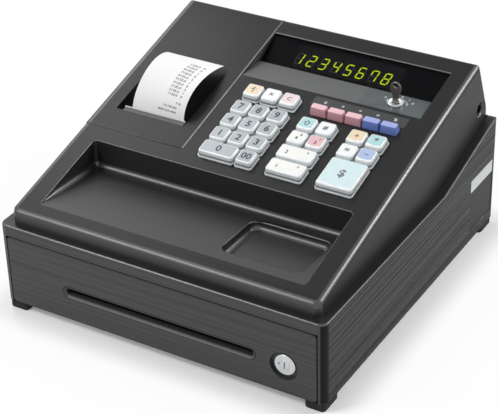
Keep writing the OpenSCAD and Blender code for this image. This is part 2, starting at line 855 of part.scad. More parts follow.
// The clip pocket's room, or its tub when grown by a wall
module pocket_room(grow) {
    translate([0, 0, pocket_z - grow]) linear_extrude(pen_front_z - pocket_z)
        rounded_rect([pocket_x0 - grow, pocket_y0 - grow],
                     [pocket_x1 + grow, pocket_y1 + grow], pocket_r + grow);
}

// Side view of the display recess and the window's bed, open to the sky
module display_room() {
    bed = window_t * [sin(window_lean), -cos(window_lean)];
    polygon([[shelf_y, shelf_z], [foot_y, shelf_z], [foot_y, shelf_z] + bed,
             window_top + bed, window_top,
             [window_top.x, ridge_z + over], [shelf_y, ridge_z + over]]);
}

// Side view of the tub under the display recess, which backs the window
module display_tub() {
    back = window_t + panel_t;
    corner_y = foot_y + back * sin(window_lean)
        + (back * cos(window_lean) - cover_wall) / tan(window_lean);
    tail = back;
    end = window_top + back * [sin(window_lean), -cos(window_lean)]
        + tail * [cos(window_lean), sin(window_lean)];
    polygon([[shelf_y - 2 * cover_wall, shelf_z - cover_wall],
             [corner_y, shelf_z - cover_wall], end,
             [end.x, ridge_z + over], [shelf_y - 2 * cover_wall, ridge_z + over]]);
}

// The holes that a block's keys stand in
module key_openings() {
    low = -cover_wall - over;
    high = cover_wall + over;
    c = key_clear - key_gap;
    sizes = [[3, 4], [2, 4], [2, 4], [3, 1]];
    for (b = [0:3])
        block([block_x[b] - key_clear, block_s[b] - key_clear, low],
              [block_x[b] + sizes[b].x * key_pitch + c,
               block_s[b] + sizes[b].y * key_pitch + c, high]);
    block([function_x - key_clear, function_s0 - key_clear, low],
          [function_x + 5 * function_pitch - key_gap + key_clear,
           function_s0 + function_l + key_clear, high]);
}

// All that belongs to the printer cover, grown by its gap for the hole it leaves
module lid_region(grow) {
    on_slope()
        block([-cover_x - over, lid_s - grow, -lid_skirt - grow],
              [seam_x + grow, ridge_s + cover_lean, lid_skirt]);
}

module top_cover() {
    color("#38383a") difference() {
        cover_outside();
        difference() {
            cover_inside();
            pen_room(cover_wall);
            pocket_room(cover_wall);
            across(display_x0 - display_rib, display_x1 + cover_wall) display_tub();
            translate([mode_x, mode_y, shelf_z - ledge_t])
                cylinder(h = ledge_t, r = mode_barrel_r + cover_wall);
            rod_x(jack_boss_x, cover_x, jack_y, jack_z, jack_r + cover_wall);
        }
        pen_room(0);
        pocket_room(0);
        across(display_x0, display_x1) display_room();
        on_window()
            block([board_x0, board_t0, -window_t - 2 * panel_t],
                  [board_x1, board_t1, -window_t / 2]);
        translate([mode_x, mode_y, shelf_z - ledge_t - over])
            cylinder(h = ledge_t + 2 * over, r = mode_barrel_r + running);
        on_slope() key_openings();
        lid_region(lid_gap);
        rod_x(jack_boss_x - over, cover_x + over, jack_y, jack_z, jack_r);
    }
}

// ---------------------------------------------------------------- printer cover

well_x0 = -cover_x + well_left;
well_x1 = well_x0 + well_w;
well_s0 = lid_s + well_front;
well_s1 = well_s0 + well_l;
well_ramp_s = well_s0 + well_slot;
paper_shift = 4.9;
paper_x = (well_x0 + well_x1) / 2 + paper_shift;
paper_back = 7;
paper_s = well_s0 + paper_back;

// Side view, up the slope, of the paper recess or of its tub when grown
module well_side(grow, top) {
    polygon([[well_s0 - grow, -well_depth - grow],
             [well_ramp_s + (grow > 0 ? grow * 0.2 : 0), -well_depth - grow],
             [well_s1 + grow * 4, grow > 0 ? -0.01 : 0],
             [well_s1, top], [well_s0 - grow, top]]);
}

module printer_cover() {
    lip = 6;
    color("#3c3c3e") difference() {
        intersection() {
            cover_outside();
            lid_region(0);
        }
        difference() {
            cover_inside();
            on_slope() {
                across(well_x0 - cover_wall, well_x1 + cover_wall)
                    well_side(cover_wall, lid_skirt);
                block([-cover_x, lid_s - over, -lip], [seam_x + over, lid_s + cover_wall, 0]);
                block([seam_x - cover_wall, lid_s, -lip], [seam_x + over, ridge_s, 0]);
            }
        }
        on_slope() {
            across(well_x0, well_x1) well_side(0, lid_skirt);
            block([well_x0, well_s0, -well_depth - 2 * cover_wall],
                  [well_x1, well_ramp_s, 0]);
        }
    }
}

module tear_bar() {
    left = 6.8;
    right = 2.5;
    strip = [-3.2, -2];
    edge = [0.6, 1.4, 1.6];
    edge_h = 0.4;
    root_h = -1;
    color("#b8babc") on_slope() across(well_x0 + left, well_x1 - right)
        polygon([[well_s0, strip[0]], [paper_s - edge[0], strip[0]],
                 [paper_s - edge[0], edge_h], [paper_s - edge[1], edge_h],
                 [paper_s - edge[2], root_h], [well_s0, strip[1]]]);
}

// Side view of the paper's curl: a straight rise, an arc back over the recess, and a tail
curl_r1 = 20;
curl_r2 = 34;
curl_turn = 55;
curl_end = 47;
curl_tail = [17, -13];
curl_centre1 = [paper_s + curl_r1, paper_rise - curl_r1];
curl_centre2 = curl_centre1 + (curl_r2 - curl_r1) * [cos(curl_turn), -sin(curl_turn)];
function curl_line(d) = concat(
    [[paper_s - d, -nip_depth - platen_r / 2]],
    arc(curl_centre1, curl_r1 + d, 180, 180 - curl_turn, 6),
    arc(curl_centre2, curl_r2 + d, 118, curl_end, 8),
    [curl_centre2 + (curl_r2 + d) * [cos(curl_end), sin(curl_end)] + curl_tail]);

module receipt_paper() {
    outside = curl_line(0);
    inside = curl_line(-paper_t);
    count = len(inside);
    color("white") on_slope() across(paper_x - paper_w / 2, paper_x + paper_w / 2)
        polygon(concat(outside, [for (i = [count - 1:-1:0]) inside[i]]));
}

// ---------------------------------------------------------------- display and mode switch

board_side = 32;
board_w = 112;
board_x0 = display_x0 + board_side;
board_x1 = board_x0 + board_w;
board_t0 = 4;
board_t1 = 31;
board_rim = 4;
panel_t = cover_wall;
window_gap = 0.2;

module display_window() {
    color([0.06, 0.07, 0.09, 0.6]) on_window()
        block([display_x0 + window_gap, window_gap, -window_t],
              [display_x1 - window_gap, window_l - 2 * window_gap, -0.1]);
}

module display_board() {
    digits = 8;
    digit_gap = 0.5;
    digit_pitch = (board_w - digit_gap) / digits;
    board_front = -window_t - panel_t;
    color("#14351f") on_window()
        block([board_x0 - board_rim, board_t0 - board_rim / 2, board_front - board_t],
              [board_x1 + board_rim, board_t1 + board_rim / 2, board_front]);
    color("#101214") on_window()
        for (i = [0:digits - 1])
            translate([board_x0 + digit_gap + i * digit_pitch, board_t0 + digit_gap, 0])
                block([0, 0, board_front - board_t / 2],
                      [digit_pitch - digit_gap, board_t1 - board_t0 - 2 * digit_gap,
                       -window_t - fit]);
}

module mode_lock() {
    bowl_r = mode_r - 2;
    color("#c9cbcc") translate([mode_x, mode_y, 0]) difference() {
        union() {
            translate([0, 0, shelf_z + 0.1]) cylinder(h = 2.4, r = mode_r);
            translate([0, 0, shelf_z - mode_barrel_l])
                cylinder(h = mode_barrel_l + over, r = mode_barrel_r);
        }
        translate([0, 0, shelf_z + 1]) cylinder(h = 2, r = bowl_r);
        translate([-blade_w / 2 - 0.2, -blade_t / 2 - 0.15, shelf_z - mode_barrel_l + 2])
            cube([blade_w + 0.4, blade_t + 0.3, mode_barrel_l + 2]);
    }
}

module mode_key() {
    eye_r = 2.2;
    color("#b4b6b8") translate([mode_x, mode_y, shelf_z]) rotate([90, 0, 0])
        translate([0, 0, -blade_t / 2]) difference() {
            union() {
                translate([0, bow_rise]) cylinder(h = blade_t, r = bow_r);
                translate([-blade_w / 2, -mode_barrel_l + 3])
                    cube([blade_w, mode_barrel_l + bow_rise - bow_r, blade_t]);
            }
            translate([0, bow_rise + bow_r / 2, -over])
                cylinder(h = blade_t + 2 * over, r = eye_r);
        }
}

// ---------------------------------------------------------------- keys

// Place and size of a key's skirt on the slope: [x, s, width, length]
function key_box(k) =
    [block_x[k[BLOCK]] + k[COLUMN] * key_pitch, block_s[k[BLOCK]] + k[ROW] * key_pitch,
     k[COLUMNS] * key_pitch - key_gap, k[ROWS] * key_pitch - key_gap];
function function_box(i) =
    [function_x + i * function_pitch, function_s0, function_pitch - key_gap, function_l];
KEY_BOXES = concat([for (k = KEYS) key_box(k)], [for (i = [0:4]) function_box(i)]);
stem_below = 4;
stem_l = cover_wall + key_travel + frame_t + stem_below;
key_rest_gap = 0.6;
frame_z = -key_skirt - key_travel - key_rest_gap;
frame_left = 5;
frame_right = 6;
frame_front = 4.5;
frame_back = 2.5;
frame_x0 = number_x - frame_left;
frame_x1 = tender_x + 2 * key_pitch + frame_right;
frame_s0 = keys_s - frame_front;
frame_s1 = feed_s + key_pitch + frame_back;
sheet_z = frame_z - frame_t - frame_border_h;

// A key cap that narrows towards its top, with a square stem under it
module key(b, h, front, colour) {
    slice = 0.4;
    color(colour) on_slope() translate([b[0], b[1]]) {
        hull() {
            translate([0, 0, -key_skirt]) linear_extrude(slice)
                rounded_rect([0, 0], [b[2], b[3]], key_r, $fn = 16);
            translate([0, 0, h - 2 * slice]) linear_extrude(slice)
                rounded_rect([key_draft, front], [b[2] - key_draft, b[3] - key_draft / 2],
                             key_r, $fn = 16);
            translate([0, 0, h - slice]) linear_extrude(slice)
                rounded_rect([key_draft + slice, front + slice],
                             [b[2] - key_draft - slice, b[3] - key_draft / 2 - slice],
                             key_r, $fn = 16);
        }
        translate([b[2] / 2 - stem_w / 2, b[3] / 2 - stem_w / 2, -stem_l])
            cube([stem_w, stem_w, stem_l]);
    }
}

module key_frame() {
    hole = stem_w + 2 * stem_clear;
    sleeve = hole + 2.4;
    border = 2;
    color("#222224") on_slope() difference() {
        block([frame_x0, frame_s0, sheet_z], [frame_x1, frame_s1, -cover_wall]);
        block([frame_x0 + border, frame_s0 + border, frame_z],
              [frame_x1 - border, frame_s1 - border, 0]);
        difference() {
            block([frame_x0 + border, frame_s0 + border, sheet_z - over],
                  [frame_x1 - border, frame_s1 - border, frame_z - frame_t]);
            for (b = KEY_BOXES)
                translate([b[0] + b[2] / 2 - sleeve / 2, b[1] + b[3] / 2 - sleeve / 2,
                           frame_z - frame_t - 3])
                    cube([sleeve, sleeve, 3 + over]);
        }
        for (b = KEY_BOXES)
            translate([b[0] + b[2] / 2 - hole / 2, b[1] + b[3] / 2 - hole / 2, sheet_z])
                cube([hole, hole, -sheet_z]);
    }
}

module dome_sheet() {
    sheet_t = 1;
    dome_base_r = 4.2;
    dome_top_r = 2.6;
    color("#8e9194") on_slope() {
        block([frame_x0, frame_s0, sheet_z - sheet_t], [frame_x1, frame_s1, sheet_z]);
        for (b = KEY_BOXES)
            translate([b[0] + b[2] / 2, b[1] + b[3] / 2, sheet_z - sheet_t / 2])
                cylinder(h = -stem_l - fit - sheet_z + sheet_t / 2, r1 = dome_base_r,
                         r2 = dome_top_r, $fn = 24);
    }
}

module main_board() {
    sheet_t = 1;
    chip = [28, 16, 3];
    chip_pitch = 45;
    chip_place = [10, 30];
    z = sheet_z - sheet_t - board_t;
    color("#14502c") on_slope()
        block([frame_x0, frame_s0, z], [frame_x1, frame_s1, z + board_t]);
    color("#1a1a1c") on_slope()
        for (i = [0:2])
            translate([number_x + chip_place.x + i * chip_pitch, keys_s + chip_place.y,
                       z - chip.z])
                cube(chip + [0, 0, board_t / 2]);
}

// ---------------------------------------------------------------- printer

ink_back = 19;
cheek_inset = [3, 2];
printer_margin = 3;
roll_lift = 1.5;
trough_inset = 5;
motor_gap = 6;
battery_back = 14.05;
battery_front = 4;
battery_gap = 0.5;
battery_count = 3;
battery_wall = 2;
platen = slope_point(paper_s + paper_t + 2 * running + platen_r, -nip_depth);
ink = slope_point(paper_s - ink_back, -nip_depth);
cheek_x0 = well_x0 + cheek_inset[0];
cheek_x1 = well_x1 + cheek_inset[1];
printer_x0 = cheek_x0 - 2 * printer_margin;
printer_z = rim_z + printer_floor_t;
printer_rear_y = cover_rear_y - cover_wall - printer_margin;
battery_y0 = printer_rear_y - battery_back - battery_r
    - (battery_count - 1) * (2 * battery_r + battery_gap);
battery_z = printer_z + battery_r + running;
roll_y = battery_y0 - battery_r - battery_front + trough_inset - roll_r;
roll_z = printer_z + roll_r + roll_lift;
motor_y = platen.x + platen_r + motor_r + motor_gap;
motor_z = printer_z + motor_r;

// Side view of a cheek, from the ink roller to the motor
module cheek() {
    front = ink.x - ink_r - 6;
    ink_shoulder = [-4, 9];
    platen_shoulder = [4, 6.5];
    motor_shoulder = [motor_r, 2];
    polygon([[front, rim_z], [front, ink.y - ink_shoulder.x], ink + ink_shoulder,
             platen + platen_shoulder, [motor_y, motor_z] + motor_shoulder,
             [motor_y + motor_r, rim_z]]);
}

module printer_frame() {
    trough_h = 11;
    trough_side = 1;
    trough_y0 = roll_y - roll_r + trough_inset;
    trough_y1 = roll_y + roll_r - trough_inset;
    floor_lead = 8;
    bar_l = 10;
    bar_h = 12;
    battery_side = 8;
    battery_stop_y = battery_y0 - battery_r - battery_wall / 2;
    color("#2a2a2c") difference() {
        union() {
            block([printer_x0, ink.x - ink_r - floor_lead, rim_z],
                  [cheek_x1 + printer_margin, printer_rear_y, printer_z]);
            across(cheek_x0, cheek_x0 + cheek_t) cheek();
            across(cheek_x1 - cheek_t, cheek_x1) cheek();
            block([paper_x - paper_w / 2 - trough_side, trough_y0, rim_z],
                  [paper_x + paper_w / 2 + trough_side, trough_y1, printer_z + trough_h]);
            on_slope()
                block([cheek_x0, paper_s - bar_l, -nip_depth - bar_h / 2],
                      [cheek_x1, paper_s - fit - 2 * running, -nip_depth + bar_h / 2]);
            block([printer_x0, battery_stop_y - battery_wall, printer_z - over],
                  [printer_x0 + battery_l + battery_side, battery_stop_y,
                   printer_z + battery_r]);
        }
        rod_x(paper_x - paper_w / 2 - 2 * trough_side, paper_x + paper_w / 2 + 2 * trough_side,
              roll_y, roll_z, roll_r + fit);
        for (p = [platen, ink])
            rod_x(cheek_x0 - over, cheek_x1 + over, p.x, p.y, shaft_r + running);
        rod_x(cheek_x0 + cheek_t, cheek_x1 - cheek_t, ink.x, ink.y, ink_r + 1);
    }
    color("silver")
        rod_x(cheek_x0 + cheek_t, cheek_x0 + cheek_t + motor_l, motor_y, motor_z, motor_r);
}

// A roller with its shaft, at a distance from the printer's cheeks
module printer_roller(p, r, side) {
    rod_x(cheek_x0 + cheek_t + side, cheek_x1 - cheek_t - side, p.x, p.y, r);
    rod_x(cheek_x0 - fit, cheek_x1 + fit, p.x, p.y, shaft_r);
}

module platen_roller() {
    color("#1c1c1c") printer_roller(platen, platen_r, 1);
}

module ink_roller() {
    color("#2b2350") printer_roller(ink, ink_r, 3);
}

module paper_roll() {
    color("white") difference() {
        rod_x(paper_x - paper_w / 2, paper_x + paper_w / 2, roll_y, roll_z, roll_r);
        rod_x(paper_x - paper_w / 2 - over, paper_x + paper_w / 2 + over, roll_y, roll_z,
              core_r);
    }
}

module backup_batteries() {
    x0 = printer_x0 + battery_wall;
    cap_t = 1.2;
    cap_r = 2.7;
    color("#4a4f55")
        for (i = [0:battery_count - 1]) {
            y = battery_y0 + i * (2 * battery_r + battery_gap);
            rod_x(x0, x0 + battery_l - cap_t, y, battery_z, battery_r);
            rod_x(x0, x0 + battery_l, y, battery_z, cap_r);
        }
}

module power_jack() {
    barrel_r = jack_r - 2 * running;
    barrel_l = 14;
    bore_r = 4.2;
    pin_r = 1;
    floor_t = 3;
    sink = 1.4;
    x1 = cover_x - sink;
    x0 = cover_x - cover_wall - barrel_l;
    color("#101010") difference() {
        union() {
            rod_x(x0, x1, jack_y, jack_z, barrel_r);
            rod_x(x0, jack_boss_x, jack_y, jack_z, jack_r + floor_t - pin_r);
        }
        rod_x(x0 + floor_t, x1 + over, jack_y, jack_z, bore_r);
    }
    color("silver") rod_x(x0 + floor_t - over, x1 - sink, jack_y, jack_z, pin_r);
}

// ---------------------------------------------------------------- key colours

function key_colour(k) =
    k[NAME] == "key_paper_feed" || k[NAME] == "key_check" ? "#f2dcb4"
    : k[NAME] == "key_clear" || k[NAME] == "key_department_3" ? "#f0cdd2"
    : k[NAME] == "key_shift" || k[NAME] == "key_clerk" || k[NAME] == "key_cash" ? "#c6e6e9"
    : k[NAME] == "key_charge" ? "#c3d3f0"
    : k[BLOCK] == NUMBER_BLOCK ? "#d3d7d9" : "#efefec";

lower_case();
base_plate();
rubber_feet();
screws();
drawer_box();
drawer_front();
coin_tray();
drawer_lock();
drawer_latch();
solenoid();
drawer_spring();
front_rollers();
rear_rollers();
top_cover();
printer_cover();
tear_bar();
display_window();
display_board();
mode_lock();
mode_key();
key_frame();
dome_sheet();
main_board();
backup_batteries();
printer_frame();
platen_roller();
ink_roller();
paper_roll();
receipt_paper();
power_jack();
for (k = KEYS)
    key(key_box(k), key_h, key_front_draft, key_colour(k));
for (i = [0:4])
    key(function_box(i), function_h, 1.8, i < 3 ? "#d8a0a8" : "#6f86c8");
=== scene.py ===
"""A compact electronic cash register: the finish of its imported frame, and a plain studio."""
import logging
import math
from dataclasses import dataclass, field
from enum import Enum
from functools import cache
from typing import Callable, Iterable, Sequence

import bmesh
import bpy
from mathutils import Matrix, Vector


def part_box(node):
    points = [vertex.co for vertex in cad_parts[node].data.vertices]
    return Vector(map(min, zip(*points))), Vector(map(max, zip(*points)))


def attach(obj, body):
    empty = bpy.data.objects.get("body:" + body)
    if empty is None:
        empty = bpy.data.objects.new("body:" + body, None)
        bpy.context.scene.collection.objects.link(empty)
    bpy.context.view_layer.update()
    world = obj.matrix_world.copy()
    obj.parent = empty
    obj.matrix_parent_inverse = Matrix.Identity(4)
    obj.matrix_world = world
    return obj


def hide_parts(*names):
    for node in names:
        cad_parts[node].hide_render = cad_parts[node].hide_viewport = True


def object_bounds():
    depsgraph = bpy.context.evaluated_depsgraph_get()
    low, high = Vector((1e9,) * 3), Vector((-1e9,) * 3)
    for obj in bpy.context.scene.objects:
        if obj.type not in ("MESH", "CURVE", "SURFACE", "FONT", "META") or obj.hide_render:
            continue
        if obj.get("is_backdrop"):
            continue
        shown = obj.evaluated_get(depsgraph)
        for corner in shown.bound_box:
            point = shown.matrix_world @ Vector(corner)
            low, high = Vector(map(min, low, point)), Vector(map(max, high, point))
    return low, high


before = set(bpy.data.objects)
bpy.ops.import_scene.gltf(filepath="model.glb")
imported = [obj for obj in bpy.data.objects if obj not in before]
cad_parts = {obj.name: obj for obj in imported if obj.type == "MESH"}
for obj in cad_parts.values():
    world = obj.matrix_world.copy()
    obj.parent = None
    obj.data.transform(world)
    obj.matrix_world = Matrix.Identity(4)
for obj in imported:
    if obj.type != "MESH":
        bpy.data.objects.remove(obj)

LOG = logging.getLogger("register")
MM = 0.001
SLIVER = 0.001  # what is left of a side, in millimetres, where two round corners meet
LETTER_WEIGHT = 0.024  # how much letters are thickened, as a share of their size
WELD = 2e-6  # points closer than this are one, in metres
FLAT = math.radians(0.4)  # faces that turn by less than this are one
TURNING = math.radians(22)  # an edge that turns by more than this can be rounded
NOISE_RANGE = (0.3, 0.7)  # where nearly all of a noise lies
Pair = tuple[float, float]
Triple = tuple[float, float, float]
Rectangle = tuple[float, float, float, float]
Outline = Sequence[Pair]
Profile = tuple[Pair, ...]


# ------------------------------------------------------------------ places


@dataclass(frozen=True)
class Span:
    """The room that a node takes on a plane, in millimetres."""

    low: Vector
    high: Vector

    def middle(self) -> Vector:
        """The middle of the room."""
        return (self.low + self.high) / 2


@dataclass(frozen=True)
class Plane:
    """A working plane that leans back about the X axis: x to the right, s up it, h out of it."""

    y: float
    z: float
    lean: float = 0.0

    def matrix(self) -> Matrix:
        """The change from millimetres on the plane to metres in the frame."""
        origin = Matrix.Translation((0.0, self.y * MM, self.z * MM))
        return origin @ Matrix.Rotation(math.radians(self.lean), 4, "X") @ Matrix.Scale(MM, 4)

    def span(self, node: str) -> Span:
        """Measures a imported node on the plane.

        Args:
            node: The node's name.

        Returns:
            Its lowest and highest places along x, s and h.
        """
        back = self.matrix().inverted()
        places = [back @ v.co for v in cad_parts[node].data.vertices]
        low = Vector([min(p[i] for p in places) for i in range(3)])
        return Span(low, Vector([max(p[i] for p in places) for i in range(3)]))


@dataclass(frozen=True)
class Body:
    """The driving sizes of the register, in millimetres and degrees."""

    case_x: float = 167.5
    case_y: float = 175.0
    rim_z: float = 91.0
    cover_x: float = 158.0
    cover_front: Pair = (-167.5, 104.0)
    ridge: Pair = (144.3, 185.0)
    display_back: float = 87.2
    shelf_l: float = 33.4
    window_lean: float = 28.5
    seam_x: float = -50.5

    def slope_l(self) -> float:
        """Length of the sloping face, from its front edge to the ridge."""
        return math.hypot(self.ridge[0] - self.cover_front[0], self.ridge[1] - self.cover_front[1])

    def slope(self) -> Plane:
        """The sloping face of the cover, measured from its front edge."""
        rise = self.ridge[1] - self.cover_front[1]
        run = self.ridge[0] - self.cover_front[0]
        return Plane(*self.cover_front, math.degrees(math.atan2(rise, run)))

    def on_slope(self, s: float) -> Pair:
        """Depth and height of a place on the sloping face."""
        share = s / self.slope_l()
        front, ridge = self.cover_front, self.ridge
        return front[0] + share * (ridge[0] - front[0]), front[1] + share * (ridge[1] - front[1])

    def shelf(self) -> Plane:
        """The level shelf in front of the display window, measured from its front edge."""
        return Plane(*self.on_slope(self.slope_l() - self.display_back))

    def window(self) -> Plane:
        """The leaning face of the display window, measured from its foot."""
        shelf = self.shelf()
        return Plane(shelf.y + self.shelf_l, shelf.z, self.window_lean)


REGISTER = Body()
LEVEL = Plane(0.0, 0.0)
UPRIGHT = Plane(0.0, 0.0, 90.0)
SLOPE = REGISTER.slope()
SHELF = REGISTER.shelf()
WINDOW = REGISTER.window()


# ------------------------------------------------------------------ finishes


def add_node(tree: bpy.types.NodeTree, kind: str, sockets: dict | None = None,
             **settings: object) -> bpy.types.Node:
    """Adds a node to a tree.

    Args:
        tree: The tree.
        kind: The node's type.
        sockets: Its inputs, by name or number, each with an output to link or a value.
        settings: The node's own settings.

    Returns:
        The node.
    """
    node = tree.nodes.new(kind)
    for name, value in settings.items():
        setattr(node, name, value)
    for name, value in (sockets or {}).items():
        socket = node.inputs[name] if isinstance(name, int) else next(
            i for i in node.inputs if i.name == name and i.enabled)
        if isinstance(value, bpy.types.NodeSocket):
            tree.links.new(value, socket)
        else:
            socket.default_value = value
    return node


class Recipe:
    """Helps a finish to put its material's nodes together."""

    def __init__(self, name: str, **values: object) -> None:
        """Starts a material, with values for its surface shader, underscores for blanks."""
        self.material = bpy.data.materials.new(name + "_finish")
        self.material.use_nodes = True
        self.tree = self.material.node_tree
        self.surface = self.tree.nodes["Principled BSDF"]
        for socket, value in values.items():
            self.surface.inputs[socket.replace("_", " ")].default_value = value

    def noise(self, size: float | Triple, detail: float = 2.0,
              rough: float = 0.5) -> object:
        """A noise whose lumps have one size, or one along each axis, in millimetres."""
        place = add_node(self.tree, "ShaderNodeTexCoord")
        sizes = size if isinstance(size, tuple) else (size,) * 3
        stretch = add_node(self.tree, "ShaderNodeMapping", {
            "Vector": place.outputs["Object"], "Scale": [1.0 / (MM * s) for s in sizes]})
        noise = add_node(self.tree, "ShaderNodeTexNoise", {
            "Vector": stretch.outputs["Vector"], "Scale": 1.0, "Detail": detail,
            "Roughness": rough})
        return noise.outputs["Fac"]

    def ramp(self, source: object, stops: Iterable[tuple[float, Sequence[float]]]) -> object:
        """A colour ramp over a value."""
        ramp = add_node(self.tree, "ShaderNodeValToRGB", {"Fac": source})
        elements = ramp.color_ramp.elements
        for index, (place, colour) in enumerate(stops):
            element = elements[index] if index < 2 else elements.new(place)
            element.position = place
            element.color = (*colour[:3], 1.0)
        return ramp.outputs["Color"]

    def join(self, source: object, socket: str) -> "Recipe":
        """Feeds a socket of the surface shader."""
        self.tree.links.new(source, self.surface.inputs[socket])
        return self

    def mottle(self, source: object, colour: Sequence[float], dark: float, light: float,
               stops: Pair = NOISE_RANGE, socket: str = "Base Color") -> "Recipe":
        """Colours the surface from a darker to a lighter tone, between two stops of a noise."""
        tones = [(place, tone(colour, factor)) for place, factor in zip(stops, (dark, light))]
        return self.join(self.ramp(source, tones), socket)

    def dull(self, source: object, low: float, high: float) -> "Recipe":
        """Spreads the roughness over a range, by a noise."""
        spread = add_node(self.tree, "ShaderNodeMapRange", {
            "Value": source, "From Min": NOISE_RANGE[0], "From Max": NOISE_RANGE[1],
            "To Min": low, "To Max": high})
        return self.join(spread.outputs["Result"], "Roughness")

    def bump(self, *layers: tuple[object, float]) -> "Recipe":
        """Stacks relief on the surface, each layer with its depth in millimetres."""
        under = {}
        for source, depth in layers:
            bump = add_node(self.tree, "ShaderNodeBump", {
                "Strength": 1.0, "Distance": depth * MM, "Height": source, **under})
            under = {"Normal": bump.outputs["Normal"]}
        return self.join(under["Normal"], "Normal")


def tone(colour: Sequence[float], factor: float) -> tuple[float, ...]:
    """A lighter or darker colour of the same hue."""
    return tuple(min(1.0, c * factor) for c in colour[:3])


def shade(code: str) -> tuple[float, ...]:
    """The linear colour of a hex code such as d5d9db."""
    parts = [int(code[i : i + 2], 16) / 255.0 for i in (0, 2, 4)]
    return tuple(c / 12.92 if c <= 0.04045 else ((c + 0.055) / 1.055) ** 2.4 for c in parts)


@dataclass(frozen=True)
class Finish:
    """What every finish has: a name and the hex code of its colour. It is mixed once."""

    name: str
    code: str

    @property
    def colour(self) -> tuple[float, ...]:
        """The finish's linear colour."""
        return shade(self.code)

    @cache
    def material(self) -> bpy.types.Material:
        """The finish's material, made when it is first asked for."""
        return self.mix().material

    def mix(self) -> Recipe:
        """Puts the material together."""
        raise NotImplementedError


@dataclass(frozen=True)
class Moulded(Finish):
    """Moulded plastic with a spark-eroded grain and a faint cloudiness."""

    roughness: float = 0.36
    gloss: float = 0.3
    grain: float = 0.6
    depth: float = 0.014
    cloud: float = 0.06

    def mix(self) -> Recipe:
        """Grain as fine relief, clouds in the colour and in the roughness."""
        recipe = Recipe(self.name, Specular_IOR_Level=self.gloss)
        recipe.mottle(recipe.noise(38.0, 3.0), self.colour, 1 - self.cloud, 1 + self.cloud)
        fleck = recipe.noise(self.grain * 2.2)
        recipe.dull(fleck, self.roughness - 0.03, self.roughness + 0.03)
        return recipe.bump((recipe.noise(self.grain), self.depth))


@dataclass(frozen=True)
class Grooved(Moulded):
    """Plastic with uneven level grooves, like split slate, cut along its walls, with painted shade
    in them.
    """

    groove: float = 1.5
    groove_depth: float = 0.4
    run: float = 800.0
    # how much the painted shade darkens the grooves and the painted light brightens their crests
    contrast: float = 1.6

    def mix(self) -> Recipe:
        """Long shallow grooves, a few deeper ones, fine brushed lines between them, and painted
        shade and light along the lines.
        """
        recipe = Recipe(self.name, Specular_IOR_Level=self.gloss)
        wide = recipe.noise((self.run, self.run, self.groove * 4.5), 3.0, 0.6)
        wave = recipe.noise((self.run * 0.7, self.run * 0.7, self.groove), 2.0, 0.6)
        levels = ((0.38, 0.0), (0.46, 0.5), (0.5, 0.55), (0.56, 1.0))
        lines = recipe.ramp(wave, [(place, (grey,) * 3) for place, grey in levels])
        # painted shade in the grooves and painted light on their crests, in step with the relief
        tones = ((0.0, 1 / self.contrast), (0.5, 1.0), (1.0, self.contrast))
        tint = recipe.ramp(lines, [(place, tone(self.colour, factor)) for place, factor in tones])
        recipe.join(tint, "Base Color")
        recipe.dull(lines, self.roughness + 0.08, self.roughness - 0.05)
        return recipe.bump((wide, self.groove_depth), (lines, self.groove_depth * 0.55))


@dataclass(frozen=True)
class Metal(Finish):
    """Bare or plated metal with fine drawn lines along one axis."""

    roughness: float = 0.3
    lines: Triple = (0.35, 0.35, 9.0)
    depth: float = 0.01

    def mix(self) -> Recipe:
        """Drawn lines as relief, and stains in the roughness."""
        recipe = Recipe(self.name, Metallic=1.0)
        stain = recipe.noise(14.0, 4.0)
        recipe.mottle(stain, self.colour, 0.86, 1.06)
        recipe.dull(stain, self.roughness - 0.06, self.roughness + 0.08)
        return recipe.bump((recipe.noise(self.lines), self.depth))


@dataclass(frozen=True)
class Zinc(Finish):
    """Zinc-plated sheet steel with the dull flakes of its plating."""

    flakes: float = 150.0

    def mix(self) -> Recipe:
        """Flakes as cells of different tone and roughness."""
        recipe = Recipe(self.name, Metallic=1.0)
        place = add_node(recipe.tree, "ShaderNodeTexCoord")
        cells = add_node(recipe.tree, "ShaderNodeTexVoronoi", {
            "Vector": place.outputs["Object"], "Scale": self.flakes}).outputs["Color"]
        recipe.mottle(cells, self.colour, 0.78, 1.1, (0.0, 1.0))
        return recipe.dull(cells, 0.34, 0.5)


@dataclass(frozen=True)
class Rubber(Finish):
    """Moulded rubber, dull, with a dusty bloom."""

    def mix(self) -> Recipe:
        """Bloom in the colour, and a coarse relief."""
        recipe = Recipe(self.name, Roughness=0.78, Specular_IOR_Level=0.3)
        recipe.mottle(recipe.noise(9.0, 4.0), self.colour, 1.0, 1.7, (0.35, 0.75))
        return recipe.bump((recipe.noise(0.7), 0.05))


@dataclass(frozen=True)
class Paper(Finish):
    """Uncoated receipt paper with its fibres."""

    def mix(self) -> Recipe:
        """Fibres as a faint relief and a faint mottling."""
        recipe = Recipe(self.name, Roughness=0.82, Specular_IOR_Level=0.25)
        fibre = recipe.noise(0.5, 3.0)
        return recipe.mottle(fibre, self.colour, 0.965, 1.0).bump((fibre, 0.02))


@dataclass(frozen=True)
class Glossy(Finish):
    """Smooth hard plastic or ink, with a clear coat where one is given."""

    roughness: float = 0.22
    coat: float = 0.0

    def mix(self) -> Recipe:
        """A smooth surface whose roughness wanders a little."""
        recipe = Recipe(self.name, Coat_Weight=self.coat, Coat_Roughness=0.06)
        cloud = recipe.noise(6.0)
        recipe.mottle(cloud, self.colour, 0.97, 1.02)
        return recipe.dull(cloud, self.roughness - 0.03, self.roughness + 0.04)


@dataclass(frozen=True)
class Clear(Finish):
    """Thin clear plastic that lets through what it doesn't mirror."""

    alpha: float = 0.3
    roughness: float = 0.08
    gloss: float = 0.5

    def mix(self) -> Recipe:
        """A see-through surface whose gloss wanders a little."""
        recipe = Recipe(self.name, Base_Color=(*self.colour, 1.0), Alpha=self.alpha,
                        Specular_IOR_Level=self.gloss)
        return recipe.dull(recipe.noise(5.0, 1.0), self.roughness, self.roughness + 0.05)


